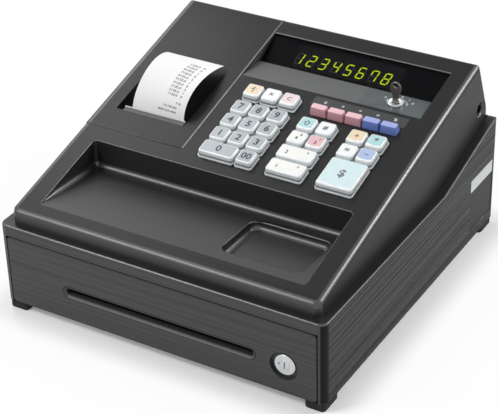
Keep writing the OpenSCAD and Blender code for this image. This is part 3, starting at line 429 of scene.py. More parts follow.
@dataclass(frozen=True)
class Glow(Finish):
    """A lit segment, its light a little uneven."""

    strength: float = 1.0

    def mix(self) -> Recipe:
        """Light of one colour over a dark ground."""
        recipe = Recipe(self.name, Base_Color=(0.01, 0.012, 0.0, 1.0), Roughness=0.5,
                        Emission_Strength=self.strength)
        return recipe.mottle(recipe.noise(3.0, 1.0), self.colour, 0.88, 1.08, (0.2, 0.8),
                             "Emission Color")


class Finishes:
    """The register's finishes, by what they are used for."""

    CASE = Grooved("case_plastic", "262627", 0.4, 0.16, groove=2.3, groove_depth=0.5, contrast=1.5)
    DRAWER = Grooved("drawer_plastic", "333334", 0.42, 0.45, groove=1.6, groove_depth=0.05,
                     contrast=1.2)
    # copies of the cover's plastic chosen by where each face looks: the front lighter, painted
    # light; floors glossier, painted sheen; rounded edges glossier still, painted sheen and
    # highlight; side walls in another tone
    COVER = Moulded("cover_plastic", "161617", 0.38, 0.2, 1.0, 0.02)
    TRAY_SKIN = Moulded("tray_skin", "1a1a1b", 0.36, 0.66, 1.1, 0.02)
    FRONT = Moulded("front_painted_light", "262627", 0.4, 0.6)
    EDGE = Moulded("edge_painted_sheen", "1a1a1b", 0.4, 0.8, depth=0.003)
    CREST = Moulded("crest_painted_highlight", "1e1e1f", 0.31, 1.0, depth=0.001)
    # near black for the case's upright rounded corners: painted shade
    CORNER = Moulded("corner_painted_shade", "0a0a0b", 0.38, 0.15)
    # near black for the faces of rounded edges that look straight out to the right, and for every
    # rounded edge of the drawer front: painted shade
    GAP = Glossy("gap_painted_shade", "070707", 0.8)
    WALL = Moulded("wall_plastic", "232324", 0.42, 0.2)
    # a lighter tone for the slot's upward-facing lower lip: painted light
    LIP = Moulded("slot_lip_painted_light", "514f4c", 0.4, 0.2)
    RIM = Moulded("rim_plastic", "1f1f20", 0.36, 0.3)
    INNER = Moulded("inner_plastic", "232325", 0.5)
    TRAY = Moulded("tray_plastic", "333436", 0.42, grain=0.8)
    BOX = Moulded("box_steel", "2a2a2c", 0.5, grain=0.9, depth=0.05)
    PANEL = Moulded("panel_print", "434a4e", 0.32, 0.45, 0.3, 0.012)
    PLATE = Moulded("rating_panel", "242526", 0.36, 0.1, 0.5, 0.008)
    # a white label in a grey tone, the shade of the side it sits on: painted shade
    BLANK = Glossy("blank_film_painted_shade", "c4c8ca", 0.4)
    STRIP = Moulded("strip_print", "2f3234", 0.36, 0.4, 0.3, 0.012)
    SHELF = Moulded("shelf_plastic", "5a5b5c", 0.4, 0.3)
    MARK = Glossy("white_print", "c9cdd0", 0.5)
    # near white for the tear bar's clear edge and teeth: painted highlight
    LABEL = Glossy("tear_edge_painted_highlight", "e6e9ea", 0.3)
    ZINC = Zinc("zinc_plate", "b4b7ba")
    STEEL = Metal("bright_steel", "c8cacc", 0.24)
    CHROME = Metal("lock_chrome", "cfd2d4", 0.26, (6.0, 0.4, 6.0), 0.004)
    # the key's steel is far darker than bright steel, standing in for the dark things it mirrors:
    # a painted reflection
    KEY_STEEL = Metal("key_blade", "6b6965", 0.34, (6.0, 6.0, 0.5), 0.004)
    SPRING = Metal("spring_steel", "a8abad", 0.3)
    COPPER = Metal("coil_copper", "b98a3e", 0.42, (0.25, 0.25, 0.25), 0.05)
    RUBBER = Rubber("foot_rubber", "1d1d1e")
    PLATEN = Rubber("platen_rubber", "262627")
    DOME = Rubber("dome_rubber", "8f9395")
    NYLON = Glossy("roller_nylon", "e3e3de", 0.4)
    FOAM = Rubber("ink_foam", "33284f")
    PAPER = Paper("paper", "f3f3f4")
    INK = Glossy("print_ink", "50535a", 0.6)
    SMOKE = Clear("window_acrylic", "04050a", 0.35, 0.03, 0.02)
    SMOKED = Moulded("smoked_strip", "5f5e5b", 0.5, 0.3, 0.4, 0.005)
    # bands of a key cap: painted light on its foot line, shoulder and rounded top, painted shade
    # on its lower wall and round its insert
    CAP_LIP = Glossy("cap_lip", "eef2f4", 0.25, 0.4)
    CAP_BAND = Glossy("cap_band", "dde2e4", 0.25, 0.4)
    CAP_WALL = Glossy("cap_wall", "8f9396", 0.2, 0.5)
    MODULE = Glossy("display_parts", "07080f", 0.6)
    LIT = Glow("lit_segment", "bfd800", 2.0)
    DIM = Glossy("dark_segment", "52605c", 0.5)
    BOARD = Moulded("board_laminate", "1c5a36", 0.35, 0.5, 1.2, 0.02)
    CHIP = Moulded("chip_resin", "1b1c1e", 0.45)
    CELL = Glossy("cell_sleeve", "3f6f9a", 0.25)
    JACK = Moulded("jack_plastic", "0c0c0d", 0.45, 0.15)
    # near black for the lining of the slot, the lock's well, keyhole and dot, and the mode
    # switch's slit: painted shade
    DARK = Glossy("hole_painted_shade", "050505", 0.8)
    DIGIT = Glossy("digit_print", "1d2a38", 0.4)
    GREY_PRINT = Glossy("grey_print", "6a6e72", 0.5)


class Tint(Enum):
    """Colours of the keys' inserts."""

    GREY = "a6adb1"
    IVORY = "f1f1ee"
    WHITE = "f4f5f6"
    ORANGE = "eed8b6"
    PINK = "ecd7da"
    ROSE = "e5b9bf"
    CYAN = "b2dade"
    PALE_CYAN = "d4eaed"
    BLUE = "adc0e4"

    def insert(self) -> Finish:
        """The finish of a key's insert in this colour."""
        return Glossy("insert_" + self.name.lower(), self.value, 0.35, 0.1)


class FunctionTint(Enum):
    """Colours of the solid function keys, with the name of each one's material."""

    # each holds the walls' colour, darker with painted shade, the upper face's colour, lighter
    # with painted light, and a name
    PINK = ("c4929a", "ebbfc6", "function_pink")
    BLUE = ("6379bd", "9caae2", "function_blue")

    def plastic(self) -> Finish:
        """The plastic of a function key in this colour, darker than its upper face: painted shade.
        """
        return Moulded(self.value[2], self.value[0], 0.34, 0.45, 0.4, 0.01, 0.02)

    def crown(self) -> Finish:
        """The upper face of a function key in this colour, glossier and lighter than its walls:
        painted light.
        """
        return Moulded(self.value[2] + "_crown", self.value[1], 0.3, 0.6, 0.4, 0.004, 0.02)


# ------------------------------------------------------------------ shapes


def rounded(x0: float, y0: float, x1: float, y1: float, r: float, steps: int = 5) -> Outline:
    """The outline of a rectangle with round corners, anticlockwise from its lower right.

    Args:
        x0: Left side.
        y0: Lower side.
        x1: Right side.
        y1: Upper side.
        r: Radius of the corners.
        steps: Points on each corner after its first.

    Returns:
        The points of the outline.
    """
    r = min(r, (x1 - x0) / 2 - SLIVER, (y1 - y0) / 2 - SLIVER)
    corners = ((x1 - r, y0 + r, -90), (x1 - r, y1 - r, 0),
               (x0 + r, y1 - r, 90), (x0 + r, y0 + r, 180))
    return [(cx + r * math.cos(math.radians(a + 90 * k / steps)),
             cy + r * math.sin(math.radians(a + 90 * k / steps)))
            for cx, cy, a in corners for k in range(steps + 1)]


def raised(outline: Outline, h: float) -> list[Triple]:
    """The ring of an outline at a height."""
    return [(x, s, h) for x, s in outline]


def circle(x: float, y: float, r: float, steps: int = 32) -> Outline:
    """The outline of a circle, anticlockwise."""
    turn = 2 * math.pi / steps
    return [(x + r * math.cos(turn * k), y + r * math.sin(turn * k)) for k in range(steps)]


def baked(piece: bpy.types.Object) -> bpy.types.Object:
    """Turns a piece with modifiers into a plain mesh with none."""
    bpy.context.view_layer.update()
    evaluated = piece.evaluated_get(bpy.context.evaluated_depsgraph_get())
    mesh = bpy.data.meshes.new_from_object(evaluated)
    piece.modifiers.clear()
    piece.data = mesh
    return piece


def linked(name: str, mesh: bpy.types.Mesh) -> bpy.types.Object:
    """A new object of a mesh, linked to the scene."""
    piece = bpy.data.objects.new(name, mesh)
    bpy.context.scene.collection.objects.link(piece)
    return piece


class Shape:
    """A mesh under construction, in millimetres on a working plane."""

    def __init__(self, name: str, plane: Plane = LEVEL) -> None:
        """Starts an empty shape on a plane."""
        self.name = name
        self.bm = bmesh.new()
        self.finishes: list[Finish] = []
        self.place = plane.matrix()

    def index(self, finish: Finish) -> int:
        """The material index of a finish in this shape."""
        if finish not in self.finishes:
            self.finishes.append(finish)
        return self.finishes.index(finish)

    def loft(self, rings: Sequence[Sequence[Sequence[float]]], finish: Finish,
             capped: bool = True, closed: bool = False) -> "Shape":
        """Skins a row of rings that have as many points each.

        Args:
            rings: The rings, each a loop of (x, s, h) points.
            finish: The skin's finish.
            capped: Whether the first and the last ring are closed with a face.
            closed: Whether the last ring joins the first.

        Returns:
            The shape.
        """
        slot = self.index(finish)
        rows = [[self.bm.verts.new(self.place @ Vector(p)) for p in ring] for ring in rings]
        pairs = list(zip(rows, rows[1:])) + ([(rows[-1], rows[0])] if closed else [])
        count = len(rows[0])
        faces = [self.bm.faces.new((a[k], a[(k + 1) % count], b[(k + 1) % count], b[k]))
                 for a, b in pairs for k in range(count)]
        if capped and not closed:
            faces.append(self.bm.faces.new(rows[0][::-1]))
            faces.append(self.bm.faces.new(rows[-1]))
        for face in faces:
            face.material_index = slot
        return self

    def face(self, ring: Sequence[Sequence[float]], finish: Finish) -> "Shape":
        """One face over a ring."""
        corners = [self.bm.verts.new(self.place @ Vector(p)) for p in ring]
        self.bm.faces.new(corners).material_index = self.index(finish)
        return self

    def plate(self, outline: Outline, low: float, high: float, finish: Finish) -> "Shape":
        """A flat plate of an outline, from one height to another."""
        return self.loft([raised(outline, h) for h in (low, high)], finish)

    def block(self, low: Sequence[float], high: Sequence[float], finish: Finish,
              edge: float = 0.0) -> "Shape":
        """A block with its upright edges, and its ends by half as much, broken by a small edge."""
        if edge <= 0:
            outline = [(low[0], low[1]), (high[0], low[1]), (high[0], high[1]), (low[0], high[1])]
            return self.plate(outline, low[2], high[2], finish)
        rings = []
        for h, inset in ((low[2], edge * 0.5), (low[2] + edge * 0.5, 0.0),
                         (high[2] - edge * 0.5, 0.0), (high[2], edge * 0.5)):
            outline = rounded(low[0] + inset, low[1] + inset, high[0] - inset, high[1] - inset,
                              edge, 2)
            rings.append(raised(outline, h))
        return self.loft(rings, finish)

    def turned(self, profile: Outline, centre: Sequence[float], axis: Sequence[float],
               finish: Finish, steps: int = 48) -> "Shape":
        """Turns a profile on a lathe.

        Args:
            profile: (radius, height) points, from the first face to the last.
            centre: Where the profile's height 0 lies, on the working plane.
            axis: The lathe's axis, on the working plane.
            finish: The finish.
            steps: Faces round the turned shape.

        Returns:
            The shape.
        """
        turn = Vector((0, 0, 1)).rotation_difference(Vector(axis)).to_matrix().to_4x4()
        seat = Matrix.Translation(centre) @ turn
        rings = [[seat @ Vector((x, y, h)) for x, y in circle(0, 0, max(r, 0.01), steps)]
                 for r, h in profile]
        return self.loft(rings, finish)

    def words(self, text: str, x: float, s: float, size: float, h: float, finish: Finish,
              thick: float = 0.04, bend: Callable[[Vector], Vector] | None = None) -> "Shape":
        """Sets plain digits or signs on the plane, centred on a place.

        Args:
            text: The digits or signs.
            x: Middle, along x.
            s: Middle, along s.
            size: Height of the letters' body.
            h: Height of their underside.
            finish: Their ink.
            thick: Thickness of the ink.
            bend: Moves each point of the flat words, where they lie on a curved face.

        Returns:
            The shape.
        """
        curve = bpy.data.curves.new("words", "FONT")
        curve.body = text
        curve.size = size
        curve.align_x = "CENTER"
        curve.align_y = "CENTER"
        curve.resolution_u = 3
        curve.extrude = thick / 2
        curve.offset = size * LETTER_WEIGHT
        sample = linked("words", curve)
        bpy.context.view_layer.update()
        evaluated = sample.evaluated_get(bpy.context.evaluated_depsgraph_get())
        mesh = bpy.data.meshes.new_from_object(evaluated)
        bpy.data.objects.remove(sample)
        mesh.transform(Matrix.Translation((x, s, h + thick / 2)))
        if bend:
            for vertex in mesh.vertices:
                vertex.co = bend(vertex.co)
        mesh.transform(self.place)
        mesh.materials.clear()
        slot = self.index(finish)
        before = len(self.bm.faces)
        self.bm.from_mesh(mesh)
        bpy.data.meshes.remove(mesh)
        self.bm.faces.ensure_lookup_table()
        for face in self.bm.faces[before:]:
            face.material_index = slot
        return self

    def build(self, smooth: float = 35.0) -> bpy.types.Object:
        """Closes the shape.

        Args:
            smooth: The angle, in degrees, past which an edge stays sharp.

        Returns:
            The finished object.
        """
        bmesh.ops.remove_doubles(self.bm, verts=self.bm.verts, dist=1e-7)
        bmesh.ops.recalc_face_normals(self.bm, faces=self.bm.faces)
        mesh = bpy.data.meshes.new(self.name)
        self.bm.to_mesh(mesh)
        self.bm.free()
        for finish in self.finishes:
            mesh.materials.append(finish.material())
        mesh.polygons.foreach_set("use_smooth", [True] * len(mesh.polygons))
        mesh.set_sharp_from_angle(angle=math.radians(smooth))
        return linked(self.name, mesh)


@dataclass(frozen=True)
class Edge:
    """An edge of a packed shell, as a softening rule sees it, in millimetres."""

    middle: Vector
    run: Vector
    normals: tuple[Vector, Vector]
    hollow: bool

    def faces_up(self) -> bool:
        """Whether one of the edge's faces looks up."""
        return max(n.z for n in self.normals) > 0.85

    def faces_front(self) -> bool:
        """Whether one of the edge's faces looks to the front."""
        return min(n.y for n in self.normals) < -0.99

    def slope_place(self) -> Vector:
        """The edge's middle on the sloping face: x, s and h."""
        return SLOPE.matrix().inverted() @ (self.middle * MM)


Softening = Callable[[Edge], float]
Dress = Callable[[Vector, Vector], Finish]


def evenly(finish: Finish) -> Dress:
    """One finish on every face."""
    return lambda normal, place: finish


@dataclass(frozen=True)
class Walls:
    """Finishes for what leans back, side walls, the front, floors, upright corners, chamfers:
    copies of one plastic, lighter or darker and glossier or duller by where each face looks, which
    paint light and shade.
    """

    top: Finish = Finishes.COVER
    wall: Finish = Finishes.WALL
    front: Finish = Finishes.FRONT
    level: Finish = Finishes.COVER
    corner: Finish = Finishes.EDGE
    slant: Finish = Finishes.CREST
    front_y: float = math.inf

    def __call__(self, normal: Vector, place: Vector) -> Finish:
        """The finish of a face that looks along a direction, at a place in millimetres."""
        if 0.3 < normal.z < 0.85 and (normal.x > 0.5 or normal.y < -0.55):
            return self.slant
        if abs(normal.z) > 0.15:
            return self.level if normal.z > 0.985 else self.top
        if normal.y < -0.9:
            return self.front if place.y < self.front_y else self.wall
        return self.corner if normal.y < -0.12 else self.wall


def along_sides(normal: Vector, place: Vector) -> Finish:
    """The crisper, glossier copy on rounded edges that look to the right, painted highlight;
    painted shade on their faces that look straight out to the right; and the softer glossy copy,
    painted sheen, on the others.
    """
    if normal.x > 0.95:
        return Finishes.GAP
    return Finishes.CREST if normal.x > 0.2 else Finishes.EDGE


def along_rim(normal: Vector, place: Vector) -> Finish:
    """The crisp, glossy copy on rounded edges, painted highlight, and painted shade where they
    meet the right wall.
    """
    return Finishes.GAP if normal.x > 0.95 else Finishes.CREST


def bends(bm: bmesh.types.BMesh) -> list[tuple[bmesh.types.BMEdge, Edge]]:
    """The edges of a shell at which its faces turn, each as a softening rule sees it."""
    found = []
    for edge in bm.edges:
        if len(edge.link_faces) == 2 and edge.calc_face_angle() > TURNING:
            a, b = edge.verts
            found.append((edge, Edge((a.co + b.co) / (2 * MM), (b.co - a.co).normalized(),
                                     tuple(f.normal.copy() for f in edge.link_faces),
                                     not edge.is_convex)))
    return found


def softened(node: str, name: str, dress: Dress, rule: Softening, segments: int = 3,
             edge_dress: Dress | None = None) -> bpy.types.Object:
    """Copies a packed shell, merges it, and rounds its edges by a rule.

    Args:
        node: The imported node.
        name: The new piece's name.
        dress: Gives each face its finish by where it looks.
        rule: Gives each edge its width in millimetres: 0 keeps it sharp, and a minus sign makes
            a flat chamfer.
        segments: Faces across each rounded edge.
        edge_dress: Gives each rounded face its finish, where it is another one.

    Returns:
        The rounded shell.
    """
    bm = bmesh.new()
    bm.from_mesh(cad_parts[node].data)
    bmesh.ops.remove_doubles(bm, verts=bm.verts, dist=WELD)
    bmesh.ops.dissolve_limit(bm, angle_limit=FLAT, verts=bm.verts, edges=bm.edges)
    for face in bm.faces:
        face.material_index = 0
    for width in {rule(seen) for _, seen in bends(bm)}:
        if width < 0:
            bmesh.ops.bevel(bm, geom=[edge for edge, seen in bends(bm) if rule(seen) == width],
                            offset=-width * MM, segments=1, profile=0.5, affect="EDGES")
    bm.edges.index_update()
    widths = {}
    for edge, seen in bends(bm):
        widths[edge.index] = max(rule(seen), 0.0)
        edge.smooth = widths[edge.index] > 0
    widest = max(widths.values())
    weights = bm.edges.layers.float.new("bevel_weight_edge")
    bm.edges.ensure_lookup_table()
    for index, width in widths.items():
        bm.edges[index][weights] = width / widest
    mesh = bpy.data.meshes.new(name)
    bm.to_mesh(mesh)
    bm.free()
    mesh.polygons.foreach_set("use_smooth", [True] * len(mesh.polygons))
    for _ in range(2):
        mesh.materials.append(None)
    piece = linked(name, mesh)
    bevel = piece.modifiers.new("edges", "BEVEL")
    bevel.limit_method = "WEIGHT"
    bevel.width = widest * MM
    bevel.segments = segments
    bevel.material = 1
    bevel.use_clamp_overlap = False
    bevel.miter_outer = "MITER_ARC"
    level = piece.modifiers.new("normals", "WEIGHTED_NORMAL")
    level.keep_sharp = True
    level.weight = 100
    baked(piece)
    dresses = (dress, edge_dress or dress)
    picks = [dresses[face.material_index](face.normal, face.center / MM)
             for face in piece.data.polygons]
    used = list(dict.fromkeys(picks))
    piece.data.materials.clear()
    for finish in used:
        piece.data.materials.append(finish.material())
    for face, finish in zip(piece.data.polygons, picks):
        face.material_index = used.index(finish)
    return piece


def install(piece: bpy.types.Object, body: str,
            nodes: Sequence[str] = ()) -> bpy.types.Object:
    """Puts a finished piece on its body and reports it.

    Args:
        piece: The piece, in place.
        body: The body that it rides on.
        nodes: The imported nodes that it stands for.

    Returns:
        The piece.
    """
    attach(piece, body)
    if nodes:
        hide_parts(*nodes)
    LOG.info("%s rides on %s, %d faces", piece.name, body, len(piece.data.polygons))
    return piece


def paint(node: str, *finishes: Finish) -> None:
    """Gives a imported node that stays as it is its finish, one for each of its materials."""
    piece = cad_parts[node]
    for index in range(len(piece.material_slots)):
        piece.material_slots[index].material = finishes[min(index, len(finishes) - 1)].material()
    if not piece.material_slots:
        piece.data.materials.append(finishes[0].material())
    LOG.info("%s keeps its packed shape", node)


# ------------------------------------------------------------------ repeats


class Repeat:
    """A geometry-node tree that repeats a part along a row or an arc."""

    def __init__(self, name: str) -> None:
        """Starts an empty tree with its output."""
        self.tree = bpy.data.node_groups.new(name, "GeometryNodeTree")
        self.tree.interface.new_socket("Geometry", in_out="OUTPUT",
                                       socket_type="NodeSocketGeometry")
        self.inputs = self.tree.nodes.new("NodeGroupInput")
        self.output = self.tree.nodes.new("NodeGroupOutput")
        self.values: dict[str, object] = {}

    def size(self, name: str, value: float) -> object:
        """A named size of the tree, set on the modifier before it is first evaluated."""
        kind = "NodeSocketInt" if isinstance(value, int) else "NodeSocketFloat"
        if isinstance(value, (tuple, list)):
            kind = "NodeSocketVector"
        socket = self.tree.interface.new_socket(name, in_out="INPUT", socket_type=kind)
        self.values[socket.identifier] = value
        return self.inputs.outputs[name]

    def node(self, kind: str, sockets: dict | None = None, **settings: object) -> object:
        """A node with its settings, and its sockets linked or set."""
        return add_node(self.tree, kind, sockets, **settings)

    def build(self, name: str, geometry: object, finish: Finish,
              place: Matrix) -> bpy.types.Object:
        """Ends the tree and turns its result into a plain mesh.

        Args:
            name: The new piece's name.
            geometry: The socket that holds the repeated parts.
            finish: Their finish.
            place: Where the tree's own frame lies.

        Returns:
            The finished object.
        """
        real = self.node("GeometryNodeRealizeInstances", {"Geometry": geometry})
        dressed = self.node("GeometryNodeSetMaterial",
                            {"Geometry": real.outputs["Geometry"], "Material": finish.material()})
        self.tree.links.new(dressed.outputs["Geometry"], self.output.inputs["Geometry"])
        piece = linked(name, bpy.data.meshes.new(name))
        modifier = piece.modifiers.new("repeat", "NODES")
        modifier.node_group = self.tree
        for identifier, value in self.values.items():
            modifier[identifier] = value
        baked(piece)
        piece.data.transform(place)
        piece.data.update()
        return piece


def tooth_row(name: str, start: Sequence[float], pitch: float, count: int,
              tooth: Sequence[float], finish: Finish, plane: Plane) -> bpy.types.Object:
    """A row of pointed teeth along x.

    Args:
        name: The new piece's name.
        start: Foot of the first tooth, on the plane, in millimetres.
        pitch: Distance between two teeth.
        count: Number of teeth.
        tooth: Width, thickness and height of a tooth.
        finish: The teeth's finish.
        plane: The working plane.

    Returns:
        The finished row.
    """
    row = Repeat(name)
    line = row.node("GeometryNodeMeshLine", {
        "Count": row.size("Teeth", count),
        "Start Location": row.size("Start", tuple(start)),
        "Offset": row.size("Pitch", (pitch, 0.0, 0.0))})
    cone = row.node("GeometryNodeMeshCone", {
        "Vertices": 4, "Radius Top": 0.03, "Radius Bottom": math.sqrt(0.5),
        "Depth": 1.0}, fill_type="NGON")
    square = row.node("GeometryNodeTransform", {
        "Geometry": cone.outputs["Mesh"], "Rotation": (0.0, 0.0, math.pi / 4)})
    sized = row.node("GeometryNodeTransform", {
        "Geometry": square.outputs["Geometry"], "Scale": row.size("Tooth", tuple(tooth))})
    teeth = row.node("GeometryNodeInstanceOnPoints", {
        "Points": line.outputs["Mesh"], "Instance": sized.outputs["Geometry"]})
    return row.build(name, teeth.outputs["Instances"], finish, plane.matrix())


def ring_stack(name: str, inner: float, outer: float, count: int, wire: float, side: float,
               finish: Finish, seat: Matrix) -> bpy.types.Object:
    """Fine rings of growing size, the laps of wound paper at the end of a roll.

    Args:
        name: The new piece's name.
        inner: Radius of the smallest ring.
        outer: Radius of the largest ring.
        count: Number of rings.
        wire: Thickness of a ring.
        side: Distance of the rings from the seat's origin along its axis.
        finish: The rings' finish.
        seat: Where the roll's middle and axis lie, in metres.

    Returns:
        The finished rings.
    """
    stack = Repeat(name)
    line = stack.node("GeometryNodeMeshLine", {
        "Count": stack.size("Rings", count), "Start Location": (0.0, 0.0, side),
        "Offset": (0.0, 0.0, 0.0)})
    index = stack.node("GeometryNodeInputIndex")
    step = (outer - inner) / (count - 1)
    grow = stack.node("ShaderNodeMath", {
        0: index.outputs["Index"], 1: stack.size("Step", step), 2: stack.size("Inner", inner)},
        operation="MULTIPLY_ADD").outputs["Value"]
    wide = stack.node("ShaderNodeCombineXYZ", {"X": grow, "Y": grow, "Z": 1.0})
    ring = stack.node("GeometryNodeCurvePrimitiveCircle", {"Resolution": 64, "Radius": 1.0})
    rings = stack.node("GeometryNodeInstanceOnPoints", {
        "Points": line.outputs["Mesh"], "Instance": ring.outputs["Curve"],
        "Scale": wide.outputs["Vector"]})
    real = stack.node("GeometryNodeRealizeInstances", {"Geometry": rings.outputs["Instances"]})
    profile = stack.node("GeometryNodeCurvePrimitiveCircle", {"Resolution": 4, "Radius": wire})
    lap = stack.node("GeometryNodeCurveToMesh", {
        "Curve": real.outputs["Geometry"], "Profile Curve": profile.outputs["Curve"]})
    return stack.build(name, lap.outputs["Mesh"], finish, seat)


# ------------------------------------------------------------------ lower case


@dataclass
class LowerCase:
    """The grooved case with its rounded rim, its feet and the blank label on its side."""

    rim_r: float = 1.6
    edge: float = 0.4
    rim_band: float = 9.0  # how far in from the walls the rim reaches
    bottom: Pair = (8.5, 0.8)  # height of the bottom edges, and their radius
    foot_edge: float = 1.0
    field_depth: float = 0.6
    film_t: float = 0.12
    panel_h: Pair = (-0.05, 0.04)  # lower and upper face
    label: Rectangle = (116.5, 62.5, 166.0, 75.5)  # y and z of two corners
    panel: Rectangle = (116.2, 19.2, 166.8, 75.8)

    def rule(self, edge: Edge) -> float:
        """Rounds the outer rim well, but not at the rear, and the other outer edges a little."""
        x, y, z = edge.middle
        in_x, in_y = REGISTER.case_x - self.rim_band, REGISTER.case_y - self.rim_band
        if edge.hollow or y > in_y - 0.5 and z > REGISTER.rim_z:
            return 0.0
        if z > REGISTER.rim_z - 0.5 and edge.faces_up() and (abs(x) > in_x or abs(y) > in_y):
            return self.rim_r
        height, bottom_r = self.bottom
        return bottom_r if z < height else self.edge

    def build(self) -> None:
        """Dresses the case and what is fixed to it."""
        # the sides take a darker, duller plastic than the front, painted shade, and the upright
        # corners a near-black one, painted shade
        walls = Walls(Finishes.RIM, Finishes.CASE, Finishes.DRAWER, Finishes.RIM, Finishes.CORNER,
                      Finishes.RIM)
        shell = softened("lower_case", "case_shell", walls, self.rule, 4, along_rim)
        install(shell, "machine", ["lower_case"])
        feet = softened("rubber_feet", "feet", evenly(Finishes.RUBBER),
                        lambda e: 0.0 if e.hollow else self.foot_edge, 3)
        install(feet, "machine", ["rubber_feet"])
        face_x = (REGISTER.case_x - self.field_depth) * MM
        label = Shape("blank_label")
        label.place = Matrix(((0, 0, MM, face_x), (MM, 0, 0, 0), (0, MM, 0, 0), (0, 0, 0, 1)))
        label.plate(rounded(*self.label, 1.0, 3), 0.0, self.film_t, Finishes.BLANK)
        label.plate(rounded(*self.panel, 0.6, 2), *self.panel_h, Finishes.PLATE)
        install(label.build(), "machine")
        paint("base_plate", Finishes.ZINC)
        paint("screws", Finishes.STEEL)


# ------------------------------------------------------------------ drawer


@dataclass
class Drawer:
    """The drawer: its brushed front, its lock, and the tray and box behind."""

    edge: float = 0.6
    inner_field: Triple = (158.0, 12.0, 75.0)  # half width, low and high, round slot and lock
    tray_edge: float = 0.7
    cup_r: float = 2.2
    slot_edge: float = 0.5
    slot_x: float = 97.5
    slot_z: float = 39.0
    slot_h: float = 6.0
    # Profiles of the slot: distances past its opening or its foot, each with a depth.
    border: Profile = ((3.15, 174.9), (2.75, 174.6), (1.3, 173.1), (1.3, 172.9), (3.15, 172.9))
    opening: Profile = ((1.35, 173.06), (0.02, 173.06), (0.02, 172.6), (1.35, 172.6))
    lip: Profile = ((-2.5, 174.45), (-1.25, 173.15), (-1.35, 172.95), (-2.6, 174.25))
    lock_r: float = 12.0
    # Profiles of the lock: radius and distance from its face; the keyhole's outline is x and s.
    lock_sink: float = 1.2  # how far the lock's face lies behind the drawer's
    well: Profile = ((12.0, -4.0), (12.0, -2.6), (0.0, -2.6))
    lock_face: Profile = ((8.0, -14.0), (8.0, -2.8), (10.5, -2.8), (10.5, -1.0), (10.15, -0.5),
                          (9.4, -0.08), (8.5, 0.0), (5.1, 0.0), (4.9, -0.35), (4.4, -0.35),
                          (4.2, -0.02), (0.0, -0.02))
    keyhole: Profile = ((0.54, -3.4), (0.18, -1.53), (0.855, -0.34), (0.27, 1.02), (0.675, 2.108),
                        (0.54, 3.4), (-0.54, 3.4), (-0.18, 1.7), (-0.81, 0.408), (-0.225, -1.02),
                        (-0.63, -2.04), (-0.54, -3.4))
    dot: Triple = (-5.3, 0.6, 0.6)  # place from the lock's middle, and radius
    # the lock's dark marks, the keyhole and the dot, are painted shade
    mark_h: Pair = (-0.5, 0.012)  # lower and upper face of the lock's dark marks

    def front_rule(self, edge: Edge) -> float:
        """Rounds the front's rim and the lips of its slot and lock recess."""
        if edge.hollow or not edge.faces_front():
            return 0.0
        half, low, high = self.inner_field
        inside = abs(edge.middle.x) < half and low < edge.middle.z < high
        return self.slot_edge if inside else self.edge

    def tray_rule(self, edge: Edge) -> float:
        """Rounds the tray's upper edges, and the bottoms of its cups."""
        if not edge.faces_up():
            return 0.0
        return self.cup_r if edge.hollow else self.tray_edge

    def slot_bezel(self) -> None:
        """The slot's sunk border with its sloping lip; the lining of the opening is painted shade,
        and the lip is painted light.
        """
        shape = Shape("slot_bezel", UPRIGHT)
        for profile, finish in ((self.border, Finishes.EDGE), (self.opening, Finishes.DARK)):
            rings = []
            for border, face in profile:
                half = self.slot_h / 2 + border
                outline = rounded(-self.slot_x - border, self.slot_z - half, self.slot_x + border,
                                  self.slot_z + half, half, 8)
                rings.append(raised(outline, face))
            shape.loft(rings, finish, closed=True)
        foot = self.slot_z - self.slot_h / 2
        shape.loft([[(x, foot + s, h) for s, h in self.lip] for x in (-self.slot_x, self.slot_x)],
                   Finishes.LIP)
        install(shape.build(20.0), "drawer")

    def lock(self) -> None:
        """The lock: a plated face with a sunk ring, a keyhole and a dot, and its barrel; the well
        of the ring, the keyhole and the dot are painted shade.
        """
        span = UPRIGHT.span("drawer_lock")
        x, s = span.middle().x, span.high.y - self.lock_r
        face = span.high.z - self.lock_sink
        shape = Shape("lock_face", UPRIGHT)
        for profile, finish, steps in ((self.well, Finishes.DARK, 48),
                                       (self.lock_face, Finishes.CHROME, 64)):
            shape.turned([(r, face + h) for r, h in profile], (x, s, 0.0), (0, 0, 1), finish,
                         steps)
        low, high = (face + h for h in self.mark_h)
        shape.plate([(x + a, s + b) for a, b in self.keyhole], low, high, Finishes.DARK)
        dot_x, dot_s, dot_r = self.dot
        shape.plate(circle(x + dot_x, s + dot_s, dot_r, 12), low, high, Finishes.DARK)
        install(shape.build(), "drawer_lock", ["drawer_lock"])

    def build(self) -> None:
        """Dresses the drawer and what rides in it."""
        # every rounded edge of the front, at its rim and round its slot and lock recess, takes
        # painted shade
        front = softened("drawer_front", "front_panel", evenly(Finishes.DRAWER),
                         self.front_rule, 3, evenly(Finishes.GAP))
        install(front, "drawer", ["drawer_front"])
        tray = softened("coin_tray", "till_tray", evenly(Finishes.TRAY), self.tray_rule)
        install(tray, "drawer", ["coin_tray"])
        paint("drawer_box", Finishes.BOX)
        paint("drawer_latch", Finishes.STEEL)
        paint("drawer_spring", Finishes.SPRING)
        paint("front_rollers", Finishes.NYLON)
        paint("rear_rollers", Finishes.NYLON)
        paint("solenoid", Finishes.COPPER, Finishes.STEEL)
        self.slot_bezel()
        self.lock()


# ------------------------------------------------------------------ cover


@dataclass
class SlopingShell:
    """What the two covers share: their round outer edges, and the seam between them."""

    outer_r: float = 4.6
    ridge_r: float = 2.6
    outer_band: float = 6.5
    ridge_band: float = 2.0

    def on_ridge(self, edge: Edge) -> bool:
        """Whether the edge lies along the ridge."""
        return edge.middle.y > REGISTER.ridge[0] - self.ridge_band

    def on_top(self, edge: Edge) -> bool:
        """Whether the edge lies on the sloping face."""
        return edge.slope_place().z > -1.0 and edge.faces_up()

    def off_seam(self, edge: Edge) -> float:
        """How far the edge lies from the seam."""
        return abs(edge.middle.x - REGISTER.seam_x)


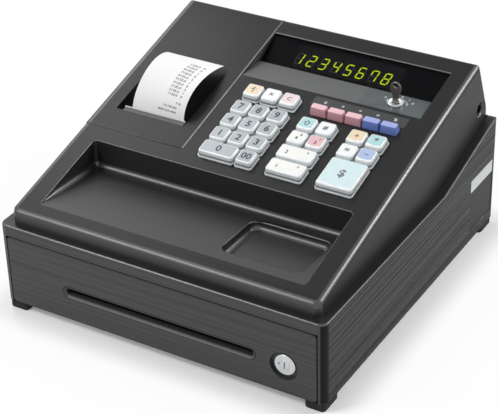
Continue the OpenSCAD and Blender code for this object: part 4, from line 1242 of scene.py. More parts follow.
@dataclass
class Cover(SlopingShell):
    """The sloping cover with its pen tray, clip pocket and printed panels."""

    seam: float = 0.5
    small: float = 0.4
    front_y: float = -161.0  # in front of this, edges are outer ones
    lintel_s: float = 290.0  # past this, edges along x stay sharp for the lip
    recess: Triple = (-48.9, 138.0, 301.12)  # left and right end, and place on the slope
    lip: Triple = (0.7, 0.42, 1.7)  # width of its ramp, height and full width
    pocket: Rectangle = (42.0, -140.5, 126.0, -77.0)  # x and y of two corners
    pocket_edge: float = 1.4
    pocket_fillet: float = 4.5
    pocket_floor: Pair = (96.0, 98.0)  # heights between which the floor's edges lie
    pocket_rim: float = 98.5
    strip: Rectangle = (33.5, 218.5, 129.5, 231.5)  # x and s of two corners
    signs: tuple[float, ...] = (12.6, 17.9, 1.2, 5.4)  # first place, pitch, rise and size
    tray: Rectangle = (136.0, -152.0, -64.0, 4.0)  # half width, front, rear and corner radius
    tray_s: float = 118.0  # below this, edges on the slope belong to the tray
    tray_edge: float = 0.7
    tray_z: Pair = (108.03, 104.03)  # height of the floor at its front and rear
    tray_fillet: float = 4.8
    fillet_share: float = 0.55  # the most of a wall's height that the hollow takes
    steps: tuple[int, int, int] = (12, 6, 8)  # along a side, round a corner, across

    def in_pocket(self, edge: Edge) -> bool:
        """Whether the edge belongs to the clip pocket."""
        x0, y0, x1, y1 = self.pocket
        return x0 < edge.middle.x < x1 and y0 < edge.middle.y < y1

    def pocket_rule(self, edge: Edge) -> float:
        """Rounds the pocket's rim, and the hollow round its floor."""
        low, high = self.pocket_floor
        if not edge.faces_up():
            return 0.0
        if edge.hollow:
            return self.pocket_fillet if low < edge.middle.z < high else 0.0
        return self.pocket_edge if edge.middle.z > self.pocket_rim else 0.0

    def rule(self, edge: Edge) -> float:
        """Rounds the cover's outer edges well, and the pocket's, and the others a little."""
        if self.in_pocket(edge):
            return self.pocket_rule(edge)
        x, y, z = edge.middle
        if edge.hollow or z < REGISTER.rim_z + 0.5:
            return 0.0
        on_ridge, on_top = self.on_ridge(edge), self.on_top(edge)
        outer = abs(x) > REGISTER.cover_x - self.outer_band or y < self.front_y
        if on_ridge or outer and on_top:
            if self.off_seam(edge) < 1.0:
                return self.seam
            return self.ridge_r if on_ridge else self.outer_r
        s = edge.slope_place().y
        if not on_top or s > self.lintel_s and abs(edge.run.x) > 0.9:
            return 0.0
        return self.tray_edge if s < self.tray_s else self.small

    def tray_path(self) -> list[Rectangle]:
        """The foot of the tray's walls: places and the directions into the tray."""
        x, front, rear, r = self.tray
        along, round_it, _ = self.steps
        left = [(-x, front + (rear - r - front) * k / along, 1.0, 0.0) for k in range(1, along)]
        corner = [(r - x - r * math.cos(a), rear - r + r * math.sin(a), math.cos(a), -math.sin(a))
                  for a in (math.pi / 2 * k / round_it for k in range(round_it + 1))]
        half = left + corner
        return half + [(-px, py, -nx, ny) for px, py, nx, ny in half[::-1]]

    def fillets(self) -> None:
        """The round hollow along the foot of the pen tray's walls, a slim wedge of plastic."""
        _, front, rear, _ = self.tray
        front_z, rear_z = self.tray_z
        root, sink, count = 0.3, 0.01, self.steps[2]
        rings = []
        for px, py, nx, ny in self.tray_path():
            floor = front_z + (rear_z - front_z) * (py - front) / (rear - front)
            slope = REGISTER.cover_front[1] + (py - REGISTER.cover_front[0]) * math.tan(
                math.radians(SLOPE.lean))
            curve = min(self.tray_fillet, self.fillet_share * (slope - floor))
            ring = [(px - root * nx, py - root * ny, floor - root)]
            for a in (math.pi / 2 * k / count for k in range(count + 1)):
                inward = curve * (1 - math.cos(a)) - sink
                rise = curve * (1 - math.sin(a)) - sink
                ring.append((px + inward * nx, py + inward * ny, floor + rise))
            rings.append(ring)
        fillet = Shape("tray_fillet").loft(rings, Finishes.EDGE).build(50.0)
        # faces that look sideways take the crisper copy: painted highlight
        fillet.data.materials.append(Finishes.CREST.material())
        for face in fillet.data.polygons:
            face.material_index = int(abs(face.normal.x) > 0.35)
        install(fillet, "machine")

    def recess_lip(self) -> None:
        """The low lip along the upper edge of the display recess."""
        left, right, s = self.recess
        ramp, height, width = self.lip
        root = -0.2
        rings = [[(x, s + 0.1, root), (x, s, 0.0), (x, s + ramp, height),
                  (x, s + width, 0.0), (x, s + width, root)] for x in (left, right)]
        lip = Shape("recess_lip", SLOPE).loft(rings, Finishes.EDGE)
        install(lip.build(), "machine")

    def panels(self) -> None:
        """The printed strip over the function keys."""
        x0, s0, x1, s1 = self.strip
        shape = Shape("function_strip", SLOPE)
        face = 0.06
        shape.plate(rounded(x0, s0, x1, s1, 0.8, 2), -0.02, face, Finishes.STRIP)
        first, pitch, rise, size = self.signs
        for index, text in enumerate("±×÷=%"):
            shape.words(text, x0 + first + pitch * index, (s0 + s1) / 2 + rise, size, face,
                        Finishes.MARK)
        install(shape.build(), "machine")

    def build(self) -> None:
        """Dresses the cover."""
        walls = Walls(level=Finishes.TRAY_SKIN, front_y=self.tray[1])
        shell = softened("top_cover", "cover_shell", walls, self.rule, 5, along_sides)
        install(shell, "machine", ["top_cover"])
        self.panels()
        self.fillets()
        self.recess_lip()
        paint("power_jack", Finishes.JACK, Finishes.STEEL)


# ------------------------------------------------------------------ printer cover


@dataclass
class PrinterCover(SlopingShell):
    """The lift-off cover over the printer, with its tear bar and the printed receipt."""

    seam: float = 0.9
    small: float = 0.3
    paper_w: float = 57.5
    paper_t: float = 0.09
    feed_depth: float = 22.0
    # Curves that the paper's edges follow, in s and h: their ends and two handles between them.
    left_edge: Profile = ((159.6, 0.0), (170.0, 18.5), (208.0, 29.5), (229.0, 12.0))
    right_edge: Profile = ((159.2, 0.0), (166.0, 18.0), (196.0, 25.5), (236.0, 4.6))
    steps: tuple[int, int] = (24, 8)  # along the paper and across it
    curl_l: float = 95.0
    letter: float = 4.2
    print_t: float = 0.03
    # The tear bar's two strips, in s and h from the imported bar's edges, and its teeth.
    smoked: Profile = ((0.2, -3.4), (-1.2, -1.3))
    clear: Profile = ((-1.3, -3.4), (-0.3, -0.3))
    tooth: Triple = (1.0, 0.3, 0.3)  # width, thickness and height
    teeth_s: float = -0.7

    def rule(self, edge: Edge) -> float:
        """Rounds the cover's outer edges well, and the seams and the recess a little."""
        on_ridge = self.on_ridge(edge)
        if edge.hollow or not (on_ridge or self.on_top(edge)):
            return 0.0
        if on_ridge or edge.middle.x < self.outer_band - REGISTER.cover_x:
            if self.off_seam(edge) <= 1.0:
                return self.small
            return self.ridge_r if on_ridge else self.outer_r
        return -self.seam if self.off_seam(edge) <= 0.3 else self.small

    def bend(self, x: float, t: float) -> Pair:
        """A point on the curling paper: a share of its width, and of its curl from foot to end."""
        weights = ((1 - t) ** 3, 3 * t * (1 - t) ** 2, 3 * t * t * (1 - t), t ** 3)
        left, right = ([sum(w * p[i] for w, p in zip(weights, edge)) for i in (0, 1)]
                       for edge in (self.left_edge, self.right_edge))
        return left[0] * (1 - x) + right[0] * x, left[1] * (1 - x) + right[1] * x

    def paper_point(self, x: float, t: float, lift: float) -> Vector:
        """A place on the receipt.

        Args:
            x: Share of the paper's width, from its left edge.
            t: Share of its curl, from the slot; below 0 it runs down into the printer.
            lift: Distance above its printed face.

        Returns:
            The place on the sloping face, in millimetres.
        """
        middle = SLOPE.span("receipt_paper").middle().x
        left = middle - self.paper_w / 2
        if t < 0:
            foot = self.left_edge[0][0] * (1 - x) + self.right_edge[0][0] * x
            return Vector((left + x * self.paper_w, foot - lift, t * self.feed_depth))
        s, h = self.bend(x, t)
        step = 0.01
        ahead, behind = self.bend(x, min(t + step, 1.0)), self.bend(x, max(t - step, 0.0))
        ds, dh = ahead[0] - behind[0], ahead[1] - behind[1]
        length = math.hypot(ds, dh)
        return Vector((left + x * self.paper_w, s - dh / length * lift, h + ds / length * lift))

    def receipt(self) -> None:
        """The receipt: one curled sheet, with rows of plain digits."""
        along, across = self.steps
        shares = [-1.0, -0.4] + [k / along for k in range(along + 1)]
        rings = []
        for t in shares:
            front = [self.paper_point(k / across, t, 0.0) for k in range(across + 1)]
            back = [self.paper_point(k / across, t, -self.paper_t) for k in range(across + 1)]
            rings.append(front + back[::-1])
        shape = Shape("receipt", SLOPE).loft(rings, Finishes.PAPER)
        for t, x, text in self.lines():
            shape.words(text, x * self.paper_w, t * self.curl_l, self.letter, 0.01, Finishes.INK,
                        self.print_t, self.on_paper)
        install(shape.build(60.0), "printer_cover", ["receipt_paper"])

    def on_paper(self, point: Vector) -> Vector:
        """Bends a point of flat print onto the curling paper."""
        return self.paper_point(point.x / self.paper_w, point.y / self.curl_l, point.z)

    def lines(self) -> Iterable[tuple[float, float, str]]:
        """The printed lines: share of the curl, share of the width, digits."""
        yield 0.085, 0.66, "000123-456"
        yield 0.155, 0.70, "12-34-56"
        yield 0.225, 0.84, "7 8"
        for row in range(10):
            yield 0.33 + 0.056 * row, 0.72, "%d125.0   %d" % (row % 9 + 1, row % 3)

    def tear_bar(self) -> None:
        """The tear bar: a smoked strip with a bright toothed edge, whose clear strip and teeth are
        painted near white: a painted highlight.
        """
        span = SLOPE.span("tear_bar")
        x0, x1 = span.low.x, span.high.x
        front, rear, top = span.low.y, span.high.y, span.high.z
        shape = Shape("tear_strip", SLOPE)
        (s0, h0), (s1, h1) = self.smoked
        shape.block((x0, front + s0, top + h0), (x1, rear + s1, top + h1), Finishes.SMOKED, 0.5)
        (s0, h0), (s1, h1) = self.clear
        shape.block((x0, rear + s0, top + h0), (x1, rear + s1, top + h1), Finishes.LABEL, 0.2)
        install(shape.build(), "printer_cover", ["tear_bar"])
        pitch, _, tall = self.tooth
        count = int((x1 - x0 - 1) / pitch)
        start = (x0 + 0.5 + pitch / 2, rear + self.teeth_s, top - tall / 2)
        teeth = tooth_row("tear_teeth", start, pitch, count, self.tooth, Finishes.LABEL, SLOPE)
        install(teeth, "printer_cover")

    def build(self) -> None:
        """Dresses the printer cover and what it carries."""
        shell = softened("printer_cover", "printer_lid", Walls(), self.rule, 5, along_sides)
        install(shell, "printer_cover", ["printer_cover"])
        self.tear_bar()
        self.receipt()


# ------------------------------------------------------------------ display


@dataclass
class Display:
    """The smoked window and the lit digits behind it."""

    digits: str = "12345678"
    first_x: float = -17.6
    pitch: float = 13.3
    width: float = 7.6
    height: float = 13.6
    foot: float = 7.6
    slant: float = 0.155
    stroke: float = 1.3
    gap: float = 0.22
    pane_back: float = -1.9
    opening: Profile = ((-16.8, 4.1), (95.0, 30.9))
    lit: dict[str, str] = field(default_factory=lambda: {
        "0": "abcdef", "1": "bc", "2": "abged", "3": "abgcd", "4": "fgbc", "5": "afgcd",
        "6": "afgedc", "7": "abcf", "8": "abcdefg", "9": "abcdfg"})

    def segment(self, name: str) -> Outline:
        """The outline of one segment of a digit, with pointed ends."""
        w, h, t, gap = self.width, self.height, self.stroke / 2, self.gap
        level = {"a": h - t, "g": h / 2, "d": t}
        if name in level:
            y = level[name]
            return [(t + gap, y), (2 * t + gap, y - t), (w - 2 * t - gap, y - t), (w - t - gap, y),
                    (w - 2 * t - gap, y + t), (2 * t + gap, y + t)]
        x = w - t if name in "bc" else t
        y0, y1 = (h / 2, h - t) if name in "bf" else (t, h / 2)
        return [(x, y0 + gap), (x + t, y0 + t + gap), (x + t, y1 - t - gap), (x, y1 - gap),
                (x - t, y1 - t - gap), (x - t, y0 + t + gap)]

    def build(self) -> None:
        """Dresses the window, and sets the digits behind it."""
        span = WINDOW.span("display_window")
        window = Shape("display_pane", WINDOW)
        window.block((span.low.x, span.low.y, self.pane_back), span.high, Finishes.SMOKE, 0.3)
        install(window.build(), "machine", ["display_window"])
        module = Shape("digit_module", WINDOW)
        board = WINDOW.span("display_board")
        face = board.high.z + 0.06
        module.block((*self.opening[0], board.low.z), (*self.opening[1], face), Finishes.MODULE)
        for place, digit in enumerate(self.digits):
            x = self.first_x + place * self.pitch
            for name in "abcdefg":
                outline = [(x + a + self.slant * b, self.foot + b) for a, b in self.segment(name)]
                lit = name in self.lit[digit]
                module.plate(outline, face - 0.02, face + (0.06 if lit else 0.03),
                             Finishes.LIT if lit else Finishes.DIM)
        install(module.build(), "machine")
        paint("display_board", Finishes.BOARD, Finishes.MODULE)


# ------------------------------------------------------------------ mode switch


@dataclass
class ModeSwitch:
    """The key switch on the shelf: its panel, ring, bowl and key."""

    x: float = 105.6
    y: float = 15.5
    ring_r: float = 8.0
    # The ring's profile: radius and height over the shelf.
    ring: Profile = ((6.0, -14.0), (6.0, 0.2), (7.7, 0.2), (8.0, 0.5), (8.0, 1.6), (7.7, 2.2),
                     (7.1, 2.5), (6.4, 2.4), (5.9, 1.9), (5.4, 1.1), (0.0, 1.1))
    slit: tuple[Triple, Triple] = ((-4.0, -1.2, 0.6), (4.0, 1.2, 1.12))  # two corners
    skin_s: float = 0.35
    skin_t: float = 0.05
    panel_x: Pair = (73.0, 69.4)  # its left side at the front and the rear
    panel_inset: Triple = (0.5, 0.2, 0.1)  # at the front, the right and the rear
    print_h: float = 0.09
    digit_angles: tuple[int, ...] = (30, 60, 90, 120, 150)
    digit_reach: float = 6.6
    digit_spread: float = 1.1
    digit_size: float = 4.6
    tick: Triple = (0.9, 2.2, 0.06)
    tick_reach: float = 2.4
    tick_arc: tuple[int, float, float] = (15, 12.0, 156.0)  # count, first angle and sweep
    bow_r: float = 7.0
    bow_h: float = 15.5
    bow_narrow: float = 0.84
    eye: Pair = (2.2, 3.6)  # radius, and height over the bow's middle
    key_edge: float = 0.35
    blade: Triple = (3.0, 1.8, -11.0)  # half width, thickness and tip

    def panel(self) -> None:
        """The shelf's satin skin, and the printed panel with its digits."""
        window = WINDOW.span("display_window")
        x0, x1 = window.low.x - 0.1, window.high.x + 0.1
        back = REGISTER.shelf_l
        shelf = Shape("shelf_skin", SHELF)
        shelf.block((x0, self.skin_s, 0.0), (x1, back, self.skin_t), Finishes.SHELF)
        front, side, rear = self.panel_inset
        outline = [(self.panel_x[0], front), (x1 - side, front), (x1 - side, back - rear),
                   (self.panel_x[1], back - rear)]
        shelf.plate(outline, self.skin_t, self.print_h, Finishes.PANEL)
        reach = self.ring_r + self.digit_reach
        for index, angle in enumerate(self.digit_angles):
            a = math.radians(angle)
            shelf.words(str(index), self.x + reach * math.cos(a) * self.digit_spread,
                        self.y + reach * math.sin(a), self.digit_size, self.print_h,
                        Finishes.MARK)
        install(shelf.build(), "machine")

    def ticks(self) -> None:
        """The arc of printed ticks round the switch."""
        count, start, sweep = self.tick_arc
        tick = Repeat("ticks")
        arc = tick.node("GeometryNodeCurveArc", {
            "Resolution": tick.size("Ticks", count),
            "Radius": tick.size("Radius", self.ring_r + self.tick_reach),
            "Start Angle": math.radians(start), "Sweep Angle": math.radians(sweep)}, mode="RADIUS")
        bar = tick.node("GeometryNodeMeshCube", {"Size": self.tick})
        along = tick.node("GeometryNodeInputTangent")
        turn = tick.node("FunctionNodeAlignRotationToVector",
                         {"Vector": along.outputs["Tangent"]}, axis="X")
        marks = tick.node("GeometryNodeInstanceOnPoints", {
            "Points": arc.outputs["Curve"], "Instance": bar.outputs["Mesh"],
            "Rotation": turn.outputs["Rotation"]})
        height = self.print_h + self.tick[2] / 2
        place = SHELF.matrix() @ Matrix.Translation((self.x, self.y, height))
        ticks = tick.build("mode_ticks", marks.outputs["Instances"], Finishes.MARK, place)
        install(ticks, "machine")

    def lock(self) -> None:
        """The plated ring with its bowl, over the switch's barrel."""
        shape = Shape("mode_ring", SHELF)
        shape.turned(self.ring, (self.x, self.y, 0.0), (0, 0, 1), Finishes.CHROME)
        # the key's slit is a dark block of painted shade
        low, high = ((self.x + x, self.y + y, h) for x, y, h in self.slit)
        shape.block(low, high, Finishes.DARK)
        install(shape.build(), "mode_lock", ["mode_lock"])

    def key(self) -> None:
        """The key: a thin bow with an eye, its shank and its blade."""
        half_w, thick, tip = self.blade
        half, edge = thick / 2, self.key_edge
        eye_r, eye_h = self.eye
        steps = 40
        shape = Shape("switch_key", Plane(SHELF.y + self.y, SHELF.z, 90.0))
        levels = ((-half, edge), (-half + edge, 0.0), (half - edge, 0.0), (half, edge))
        rings = [[(self.x + self.bow_narrow * p, self.bow_h + q, h)
                  for p, q in circle(0, 0, self.bow_r - inset, steps)] for h, inset in levels]
        rings += [raised(circle(self.x, self.bow_h + eye_h, eye_r + inset, steps), h)
                  for h, inset in levels[::-1]]
        shape.loft(rings, Finishes.KEY_STEEL, closed=True)
        top = self.bow_h - self.bow_r + 1.5
        shape.block((self.x - half_w, tip, 0.1 - half), (self.x + half_w, top, half - 0.1),
                    Finishes.KEY_STEEL, 0.3)
        install(shape.build(30.0), "mode_key", ["mode_key"])

    def build(self) -> None:
        """Makes the whole switch."""
        self.panel()
        self.ticks()
        self.lock()
        self.key()


# ------------------------------------------------------------------ keys


@dataclass(frozen=True)
class Legend:
    """One sign on a key: its text, its place from the label's middle, and its size."""

    text: str
    x: float
    s: float
    size: float
    dark: bool = True


@dataclass(frozen=True)
class KeyCap:
    """A pale cap over a tinted insert."""

    node: str
    tint: Tint
    legends: tuple[Legend, ...]

    def ground(self) -> Finish:
        """The finish round the tinted part of the insert, or of all of it where it is plain."""
        return (self.tint if self.tint in PLAIN else Tint.WHITE).insert()


def signed(name: str, tint: Tint, text: str, size: float, dark: bool = False) -> KeyCap:
    """A key with one sign in its middle."""
    return KeyCap("key_" + name, tint, (Legend(text, 0.0, 0.0, size, dark),))


def department(number: int, tint: Tint, x: float, small_x: float) -> KeyCap:
    """A department's key, with its number and the one that it has with the shift key."""
    return KeyCap("key_department_%d" % number, tint,
                  (Legend(str(number), x, -1.4, 5.6), Legend(str(number + 4), small_x, 3.2, 3.6)))


PLAIN = (Tint.GREY, Tint.WHITE, Tint.IVORY)
KEYS = (
    *(signed(str(digit), Tint.GREY, str(digit), 10.4, True) for digit in range(10)),
    signed("00", Tint.GREY, "00", 10.0, True),
    signed("paper_feed", Tint.ORANGE, "↑", 9.0),
    signed("multiply", Tint.WHITE, "×", 9.0),
    signed("clear", Tint.PINK, "C", 6.6),
    department(1, Tint.IVORY, -9.0, 10.5),
    department(2, Tint.IVORY, -9.0, 10.5),
    department(3, Tint.ROSE, 0.0, 3.0),
    department(4, Tint.IVORY, 0.0, 3.0),
    signed("shift", Tint.CYAN, "⇧", 8.0),
    signed("item", Tint.WHITE, "#", 7.4, True),
    signed("cash", Tint.PALE_CYAN, "$", 12.5),
    signed("subtotal", Tint.WHITE, "=", 8.4, True),
    signed("charge", Tint.BLUE, "−", 8.4),
    signed("check", Tint.ORANGE, "+", 8.4),
    signed("clerk", Tint.CYAN, "*", 9.4),
)


@dataclass(frozen=True)
class Level:
    """A ring of a key: its height as a share of the top and a rise, its inset, and its skin."""

    share: float
    rise: float
    inset: float
    finish: Finish | None = None


@dataclass
class Keyboard:
    """All the keys, the frame that they stand in, and the boards under them."""

    corner: float = 2.6
    skirt: float = -1.0
    side: float = 1.2
    front: float = 2.0
    rear: float = 0.6
    label_inset: float = 1.35
    label_sink: float = 0.16
    label_r: float = 1.6
    label_bow: Triple = (2.3, 1.5, 3.0)  # rise of the lower corners, dip, start of the sides
    stem: Pair = (2.0, 2.0)  # half width and upper end
    function_front: float = 2.4
    function_corner: float = 1.1
    function_stem: Pair = (2.0, 0.0)  # half width and upper end
    sheet_t: float = 1.0
    dome_r: Triple = (4.2, 3.5, 3.05)  # at the foot, at the crown and of the well in it
    # the rings' skins paint light and shade: painted light on the foot line, shoulder and rounded
    # top, painted shade on the lower wall and in a thin line round the insert
    levels: tuple[Level, ...] = (
        Level(0, -1.0, 0.0, Finishes.CAP_LIP), Level(0, 0.3, 0.0, Finishes.CAP_LIP),
        Level(0, 0.3, 0.55, Finishes.CAP_WALL), Level(0.42, 0.0, 0.35, Finishes.CAP_BAND),
        Level(1, -1.1, 0.2, Finishes.CAP_LIP), Level(1, -0.5, 0.3, Finishes.CAP_LIP),
        Level(1, -0.15, 0.6, Finishes.CAP_LIP), Level(1, 0.0, 1.1, Finishes.CAP_LIP),
        Level(1, 0.0, 1.3, Finishes.CAP_WALL), Level(1, -0.12, 1.34))
    function_levels: tuple[Level, ...] = (
        Level(0, -1.0, 0.0), Level(0, 0.0, 0.0), Level(1, -0.5, 0.02), Level(1, -0.2, 0.12),
        Level(1, -0.05, 0.3), Level(1, 0.0, 0.5))

    def rings(self, span: Span, levels: Iterable[Level], corner: float,
              front: float) -> list[list[Triple]]:
        """The level rings of a key's tapering body.

        Args:
            span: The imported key's room.
            levels: Where the rings lie.
            corner: Radius of the key's corners at its foot.
            front: How far the key's front leans in up to its top.

        Returns:
            The rings, from the foot up.
        """
        rings = []
        for level in levels:
            h, inset = level.share * span.high.z + level.rise, level.inset
            share = (h - self.skirt) / (span.high.z - self.skirt)
            outline = rounded(span.low.x + self.side * share + inset,
                              span.low.y + front * share + inset,
                              span.high.x - self.side * share - inset,
                              span.high.y - self.rear * share - inset,
                              max(corner - inset, 0.6), 4)
            rings.append(raised(outline, h))
        return rings

    def post(self, shape: Shape, span: Span, size: Pair, finish: Finish) -> None:
        """The square stem under a key, with its half width and its upper end."""
        half, high = size
        x, s, _ = span.middle()
        shape.block((x - half, s - half, span.low.z), (x + half, s + half, high), finish)

    def cap(self, key: KeyCap) -> None:
        """Makes one key: a bright foot line, a darker wall, a pale shoulder and its insert, in
        bands of painted light and painted shade.

        Args:
            key: The key's node, tint and signs.
        """
        span = SLOPE.span(key.node)
        shape = Shape(key.node + "_cap", SLOPE)
        rings = self.rings(span, self.levels, self.corner, self.front)
        for low, high, level in zip(rings, rings[1:], self.levels):
            shape.loft([low, high], level.finish, capped=False)
        shape.face(rings[0][::-1], Finishes.CAP_LIP).face(rings[-1], key.ground())
        self.label(shape, span, key, span.high.z - self.label_sink)
        self.post(shape, span, self.stem, Tint.WHITE.insert())
        install(shape.build(50.0), key.node, [key.node])

    def label(self, shape: Shape, span: Span, key: KeyCap, h: float) -> None:
        """The tinted face of a key and the signs on it."""
        edge = self.label_inset
        x0, x1 = span.low.x + self.side + edge, span.high.x - self.side - edge
        s0, s1 = span.low.y + self.front + edge, span.high.y - self.rear - edge
        if key.tint not in PLAIN:
            side, dip, cut = self.label_bow
            bow = [(x0 + (x1 - x0) * k / 10, s0 + side - dip * math.sin(math.pi * k / 10))
                   for k in range(11)]
            rest = [p for p in rounded(x0, s0, x1, s1, self.label_r, 4) if p[1] > s0 + cut]
            shape.plate(bow + rest, h - 0.1, h + 0.05, key.tint.insert())
        for legend in key.legends:
            ink = Finishes.DIGIT if legend.dark else Finishes.GREY_PRINT
            shape.words(legend.text, (x0 + x1) / 2 + legend.x, (s0 + s1) / 2 + legend.s,
                        legend.size, h + 0.05, ink)

    def function_key(self, node: str, tint: FunctionTint) -> None:
        """Makes one solid function key, with a sloping front and rounded edges."""
        span = SLOPE.span(node)
        shape = Shape(node + "_cap", SLOPE)
        rings = self.rings(span, self.function_levels, self.function_corner, self.function_front)
        # the walls take the darker colour and the upper face the lighter one: painted shade and
        # painted light
        shape.loft(rings[:3], tint.plastic(), capped=False)
        shape.loft(rings[2:], tint.crown(), capped=False)
        shape.face(rings[0][::-1], tint.plastic()).face(rings[-1], tint.crown())
        self.post(shape, span, self.function_stem, tint.plastic())
        install(shape.build(50.0), node, [node])

    def domes(self, nodes: Sequence[str]) -> None:
        """The rubber sheet: a dome under each key, with an open crown that its stem sinks into."""
        span = SLOPE.span("dome_sheet")
        face = span.low.z + self.sheet_t
        shape = Shape("rubber_sheet", SLOPE)
        shape.block(span.low, (span.high.x, span.high.y, face), Finishes.DOME, 0.4)
        foot, crown, well = self.dome_r
        profile = ((foot, face - 0.2), (foot - 0.2, face + 0.6), (crown, span.high.z - 0.2),
                   (crown - 0.15, span.high.z), (well, span.high.z), (well, face - 0.2))
        for node in nodes:
            middle = SLOPE.span(node).middle()
            rings = [raised(circle(middle.x, middle.y, r, 24), h) for r, h in profile]
            shape.loft(rings, Finishes.DOME, closed=True)
        install(shape.build(), "machine", ["dome_sheet"])

    def build(self) -> None:
        """Makes all the keys and dresses what is under them."""
        nodes = []
        for key in KEYS:
            self.cap(key)
            nodes.append(key.node)
        for number in range(1, 6):
            tint = FunctionTint.PINK if number <= 3 else FunctionTint.BLUE
            nodes.append("function_key_%d" % number)
            self.function_key(nodes[-1], tint)
        paint("key_frame", Finishes.INNER)
        self.domes(nodes)
        paint("main_board", Finishes.BOARD, Finishes.CHIP)


# ------------------------------------------------------------------ printer works


@dataclass
class PrinterWorks:
    """The printer under its cover: the frame, the rollers, the paper roll and the cells."""

    core_r: float = 9.0
    rim: float = 0.6  # what the outermost lap leaves free
    laps: int = 14
    lap_t: float = 0.06
    lap_sink: float = 0.02

    def roll_rings(self) -> None:
        """The laps of paper that show at both ends of the roll."""
        low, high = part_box("paper_roll")
        middle = (low + high) / 2
        radius = (high.z - low.z) / 2 / MM
        half = (high.x - low.x) / 2 / MM
        turn = Matrix.Rotation(math.pi / 2, 4, "Y")
        seat = Matrix.Translation(middle) @ turn @ Matrix.Scale(MM, 4)
        for side, name in ((-1, "roll_laps_left"), (1, "roll_laps_right")):
            laps = ring_stack(name, self.core_r, radius - self.rim, self.laps, self.lap_t,
                              side * (half - self.lap_sink), Finishes.PAPER, seat)
            install(laps, "paper_roll")

    def build(self) -> None:
        """Dresses the printer."""
        paint("printer_frame", Finishes.INNER, Finishes.STEEL)
        paint("platen_roller", Finishes.PLATEN)
        paint("ink_roller", Finishes.FOAM)
        paint("paper_roll", Finishes.PAPER)
        paint("backup_batteries", Finishes.CELL)
        self.roll_rings()


# ------------------------------------------------------------------ studio


@dataclass(frozen=True)
class Lamp:
    """A soft lamp, aimed at the register, in metres and watts."""

    name: str
    place: Triple
    width: float
    height: float
    power: float


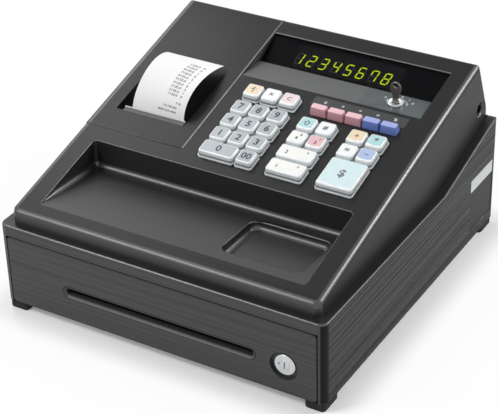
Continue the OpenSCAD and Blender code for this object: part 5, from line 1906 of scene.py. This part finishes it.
@dataclass
class Studio:
    """The pale floor, the soft lamps, the white surroundings and the camera."""

    azimuth: float = 31.54
    elevation: float = 31.54
    roll: float = -1.70
    distance: float = 1.5774
    target: Triple = (-0.009, 0.0002, 0.0595)
    lens: float = 120.43
    ambient: float = 0.34
    floor_r: Pair = (1.0, 6000.0)
    floor_glow: float = 0.93
    shadow_share: float = 0.2  # of the floor's glow, right beside the case
    shadow_reach: float = 0.035
    lamps: tuple[Lamp, ...] = (
        Lamp("front_lamp", (-0.88, -1.06, 1.5), 0.6, 0.6, 18.0),
        Lamp("side_lamp", (1.35, 0.91, 1.2), 0.4, 1.0, 20.0),
        Lamp("top_lamp", (-0.78, 0.42, 1.02), 0.4, 0.4, 3.0),
    )

    def aim(self) -> Matrix:
        """The camera's place and turn."""
        a, e, r = (math.radians(v) for v in (self.azimuth, self.elevation, self.roll))
        back = Vector((math.sin(a) * math.cos(e), -math.cos(a) * math.cos(e), math.sin(e)))
        right = (-back).cross(Vector((0, 0, 1))).normalized()
        up = right.cross(-back)
        x_axis = math.cos(r) * right + math.sin(r) * up
        y_axis = -math.sin(r) * right + math.cos(r) * up
        place = Vector(self.target) + back * self.distance
        turn = Matrix((x_axis, y_axis, back)).transposed().to_4x4()
        return Matrix.Translation(place) @ turn

    def camera(self) -> None:
        """Sets up the camera."""
        lens = bpy.data.cameras.new("camera")
        lens.lens = self.lens
        camera = linked("camera", lens)
        camera.matrix_world = self.aim()
        bpy.context.scene.camera = camera

    def seen(self, tree: bpy.types.NodeTree) -> object:
        """1 for what the camera, a mirror or a clear body sees, and 0 for light on a surface."""
        path = add_node(tree, "ShaderNodeLightPath")
        total = path.outputs["Is Camera Ray"]
        for name in ("Is Glossy Ray", "Is Transmission Ray"):
            total = add_node(tree, "ShaderNodeMath", {0: total, 1: path.outputs[name]},
                             operation="MAXIMUM").outputs["Value"]
        return total

    def world(self) -> None:
        """White surroundings with a plain level of light."""
        world = bpy.data.worlds.new("surroundings")
        bpy.context.scene.world = world
        world.use_nodes = True
        tree = world.node_tree
        background = tree.nodes["Background"]
        background.inputs["Color"].default_value = (1.0, 1.0, 1.0, 1.0)
        level = add_node(tree, "ShaderNodeMapRange", {
            "Value": self.seen(tree), "To Min": self.ambient, "To Max": 1.0})
        tree.links.new(level.outputs["Result"], background.inputs["Strength"])

    def clearance(self, tree: bpy.types.NodeTree) -> object:
        """The floor's own glow: dimmed beside the case, which paints a soft shadow there over the
        lamps' real one, and full past it.
        """
        place = add_node(tree, "ShaderNodeTexCoord").outputs["Object"]
        case = (REGISTER.case_x * MM, REGISTER.case_y * MM, 0.0)
        for operation, other in (("ABSOLUTE", {}), ("SUBTRACT", {1: case}),
                                 ("MAXIMUM", {1: (0.0, 0.0, 0.0)}), ("LENGTH", {})):
            node = add_node(tree, "ShaderNodeVectorMath", {0: place, **other}, operation=operation)
            place = node.outputs["Value" if operation == "LENGTH" else "Vector"]
        level = add_node(tree, "ShaderNodeMapRange", {
            "Value": place, "From Max": self.shadow_reach,
            "To Min": self.floor_glow * self.shadow_share, "To Max": self.floor_glow},
            interpolation_type="SMOOTHSTEP")
        return level.outputs["Result"]

    def floor(self) -> None:
        """A wide pale floor that keeps the register's soft shadow, with a painted shadow round the
        case.
        """
        shape = Shape("floor")
        rings = [raised(circle(0, 0, r, 64), 0.0) for r in self.floor_r]
        floor = shape.loft(rings, Glossy("floor_paint", "ffffff", 0.9), capped=False).build()
        tree = floor.data.materials[0].node_tree
        share = add_node(tree, "ShaderNodeMath", {0: self.seen(tree), 1: self.clearance(tree)},
                         operation="MULTIPLY")
        white = add_node(tree, "ShaderNodeEmission")
        blend = add_node(tree, "ShaderNodeMixShader", {
            0: share.outputs["Value"], 1: tree.nodes["Principled BSDF"].outputs["BSDF"],
            2: white.outputs["Emission"]})
        tree.links.new(blend.outputs["Shader"], tree.nodes["Material Output"].inputs["Surface"])
        floor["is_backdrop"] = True

    def light(self) -> None:
        """Hangs the soft lamps."""
        for lamp in self.lamps:
            data = bpy.data.lights.new(lamp.name, "AREA")
            data.shape = "RECTANGLE"
            data.size = lamp.width
            data.size_y = lamp.height
            data.energy = lamp.power
            piece = linked(lamp.name, data)
            place = Vector(lamp.place)
            turn = (Vector(self.target) - place).to_track_quat("-Z", "Y").to_matrix().to_4x4()
            piece.matrix_world = Matrix.Translation(place) @ turn

    def build(self) -> None:
        """Sets up the whole studio."""
        self.camera()
        self.world()
        self.floor()
        self.light()
        bpy.context.scene.view_settings.view_transform = "Standard"


def corners() -> list[list[float]]:
    """The whole object's box, as plain numbers."""
    return [list(corner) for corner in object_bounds()]


def main() -> None:
    """Builds the studio and every sub-assembly in turn."""
    logging.basicConfig(level=logging.INFO, format="%(name)s: %(message)s")
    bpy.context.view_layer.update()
    for assembly in (Studio(), LowerCase(), Drawer(), Cover(), PrinterCover(), Display(),
                     ModeSwitch(), Keyboard(), PrinterWorks()):
        assembly.build()


if __name__ == "__main__":
    main()
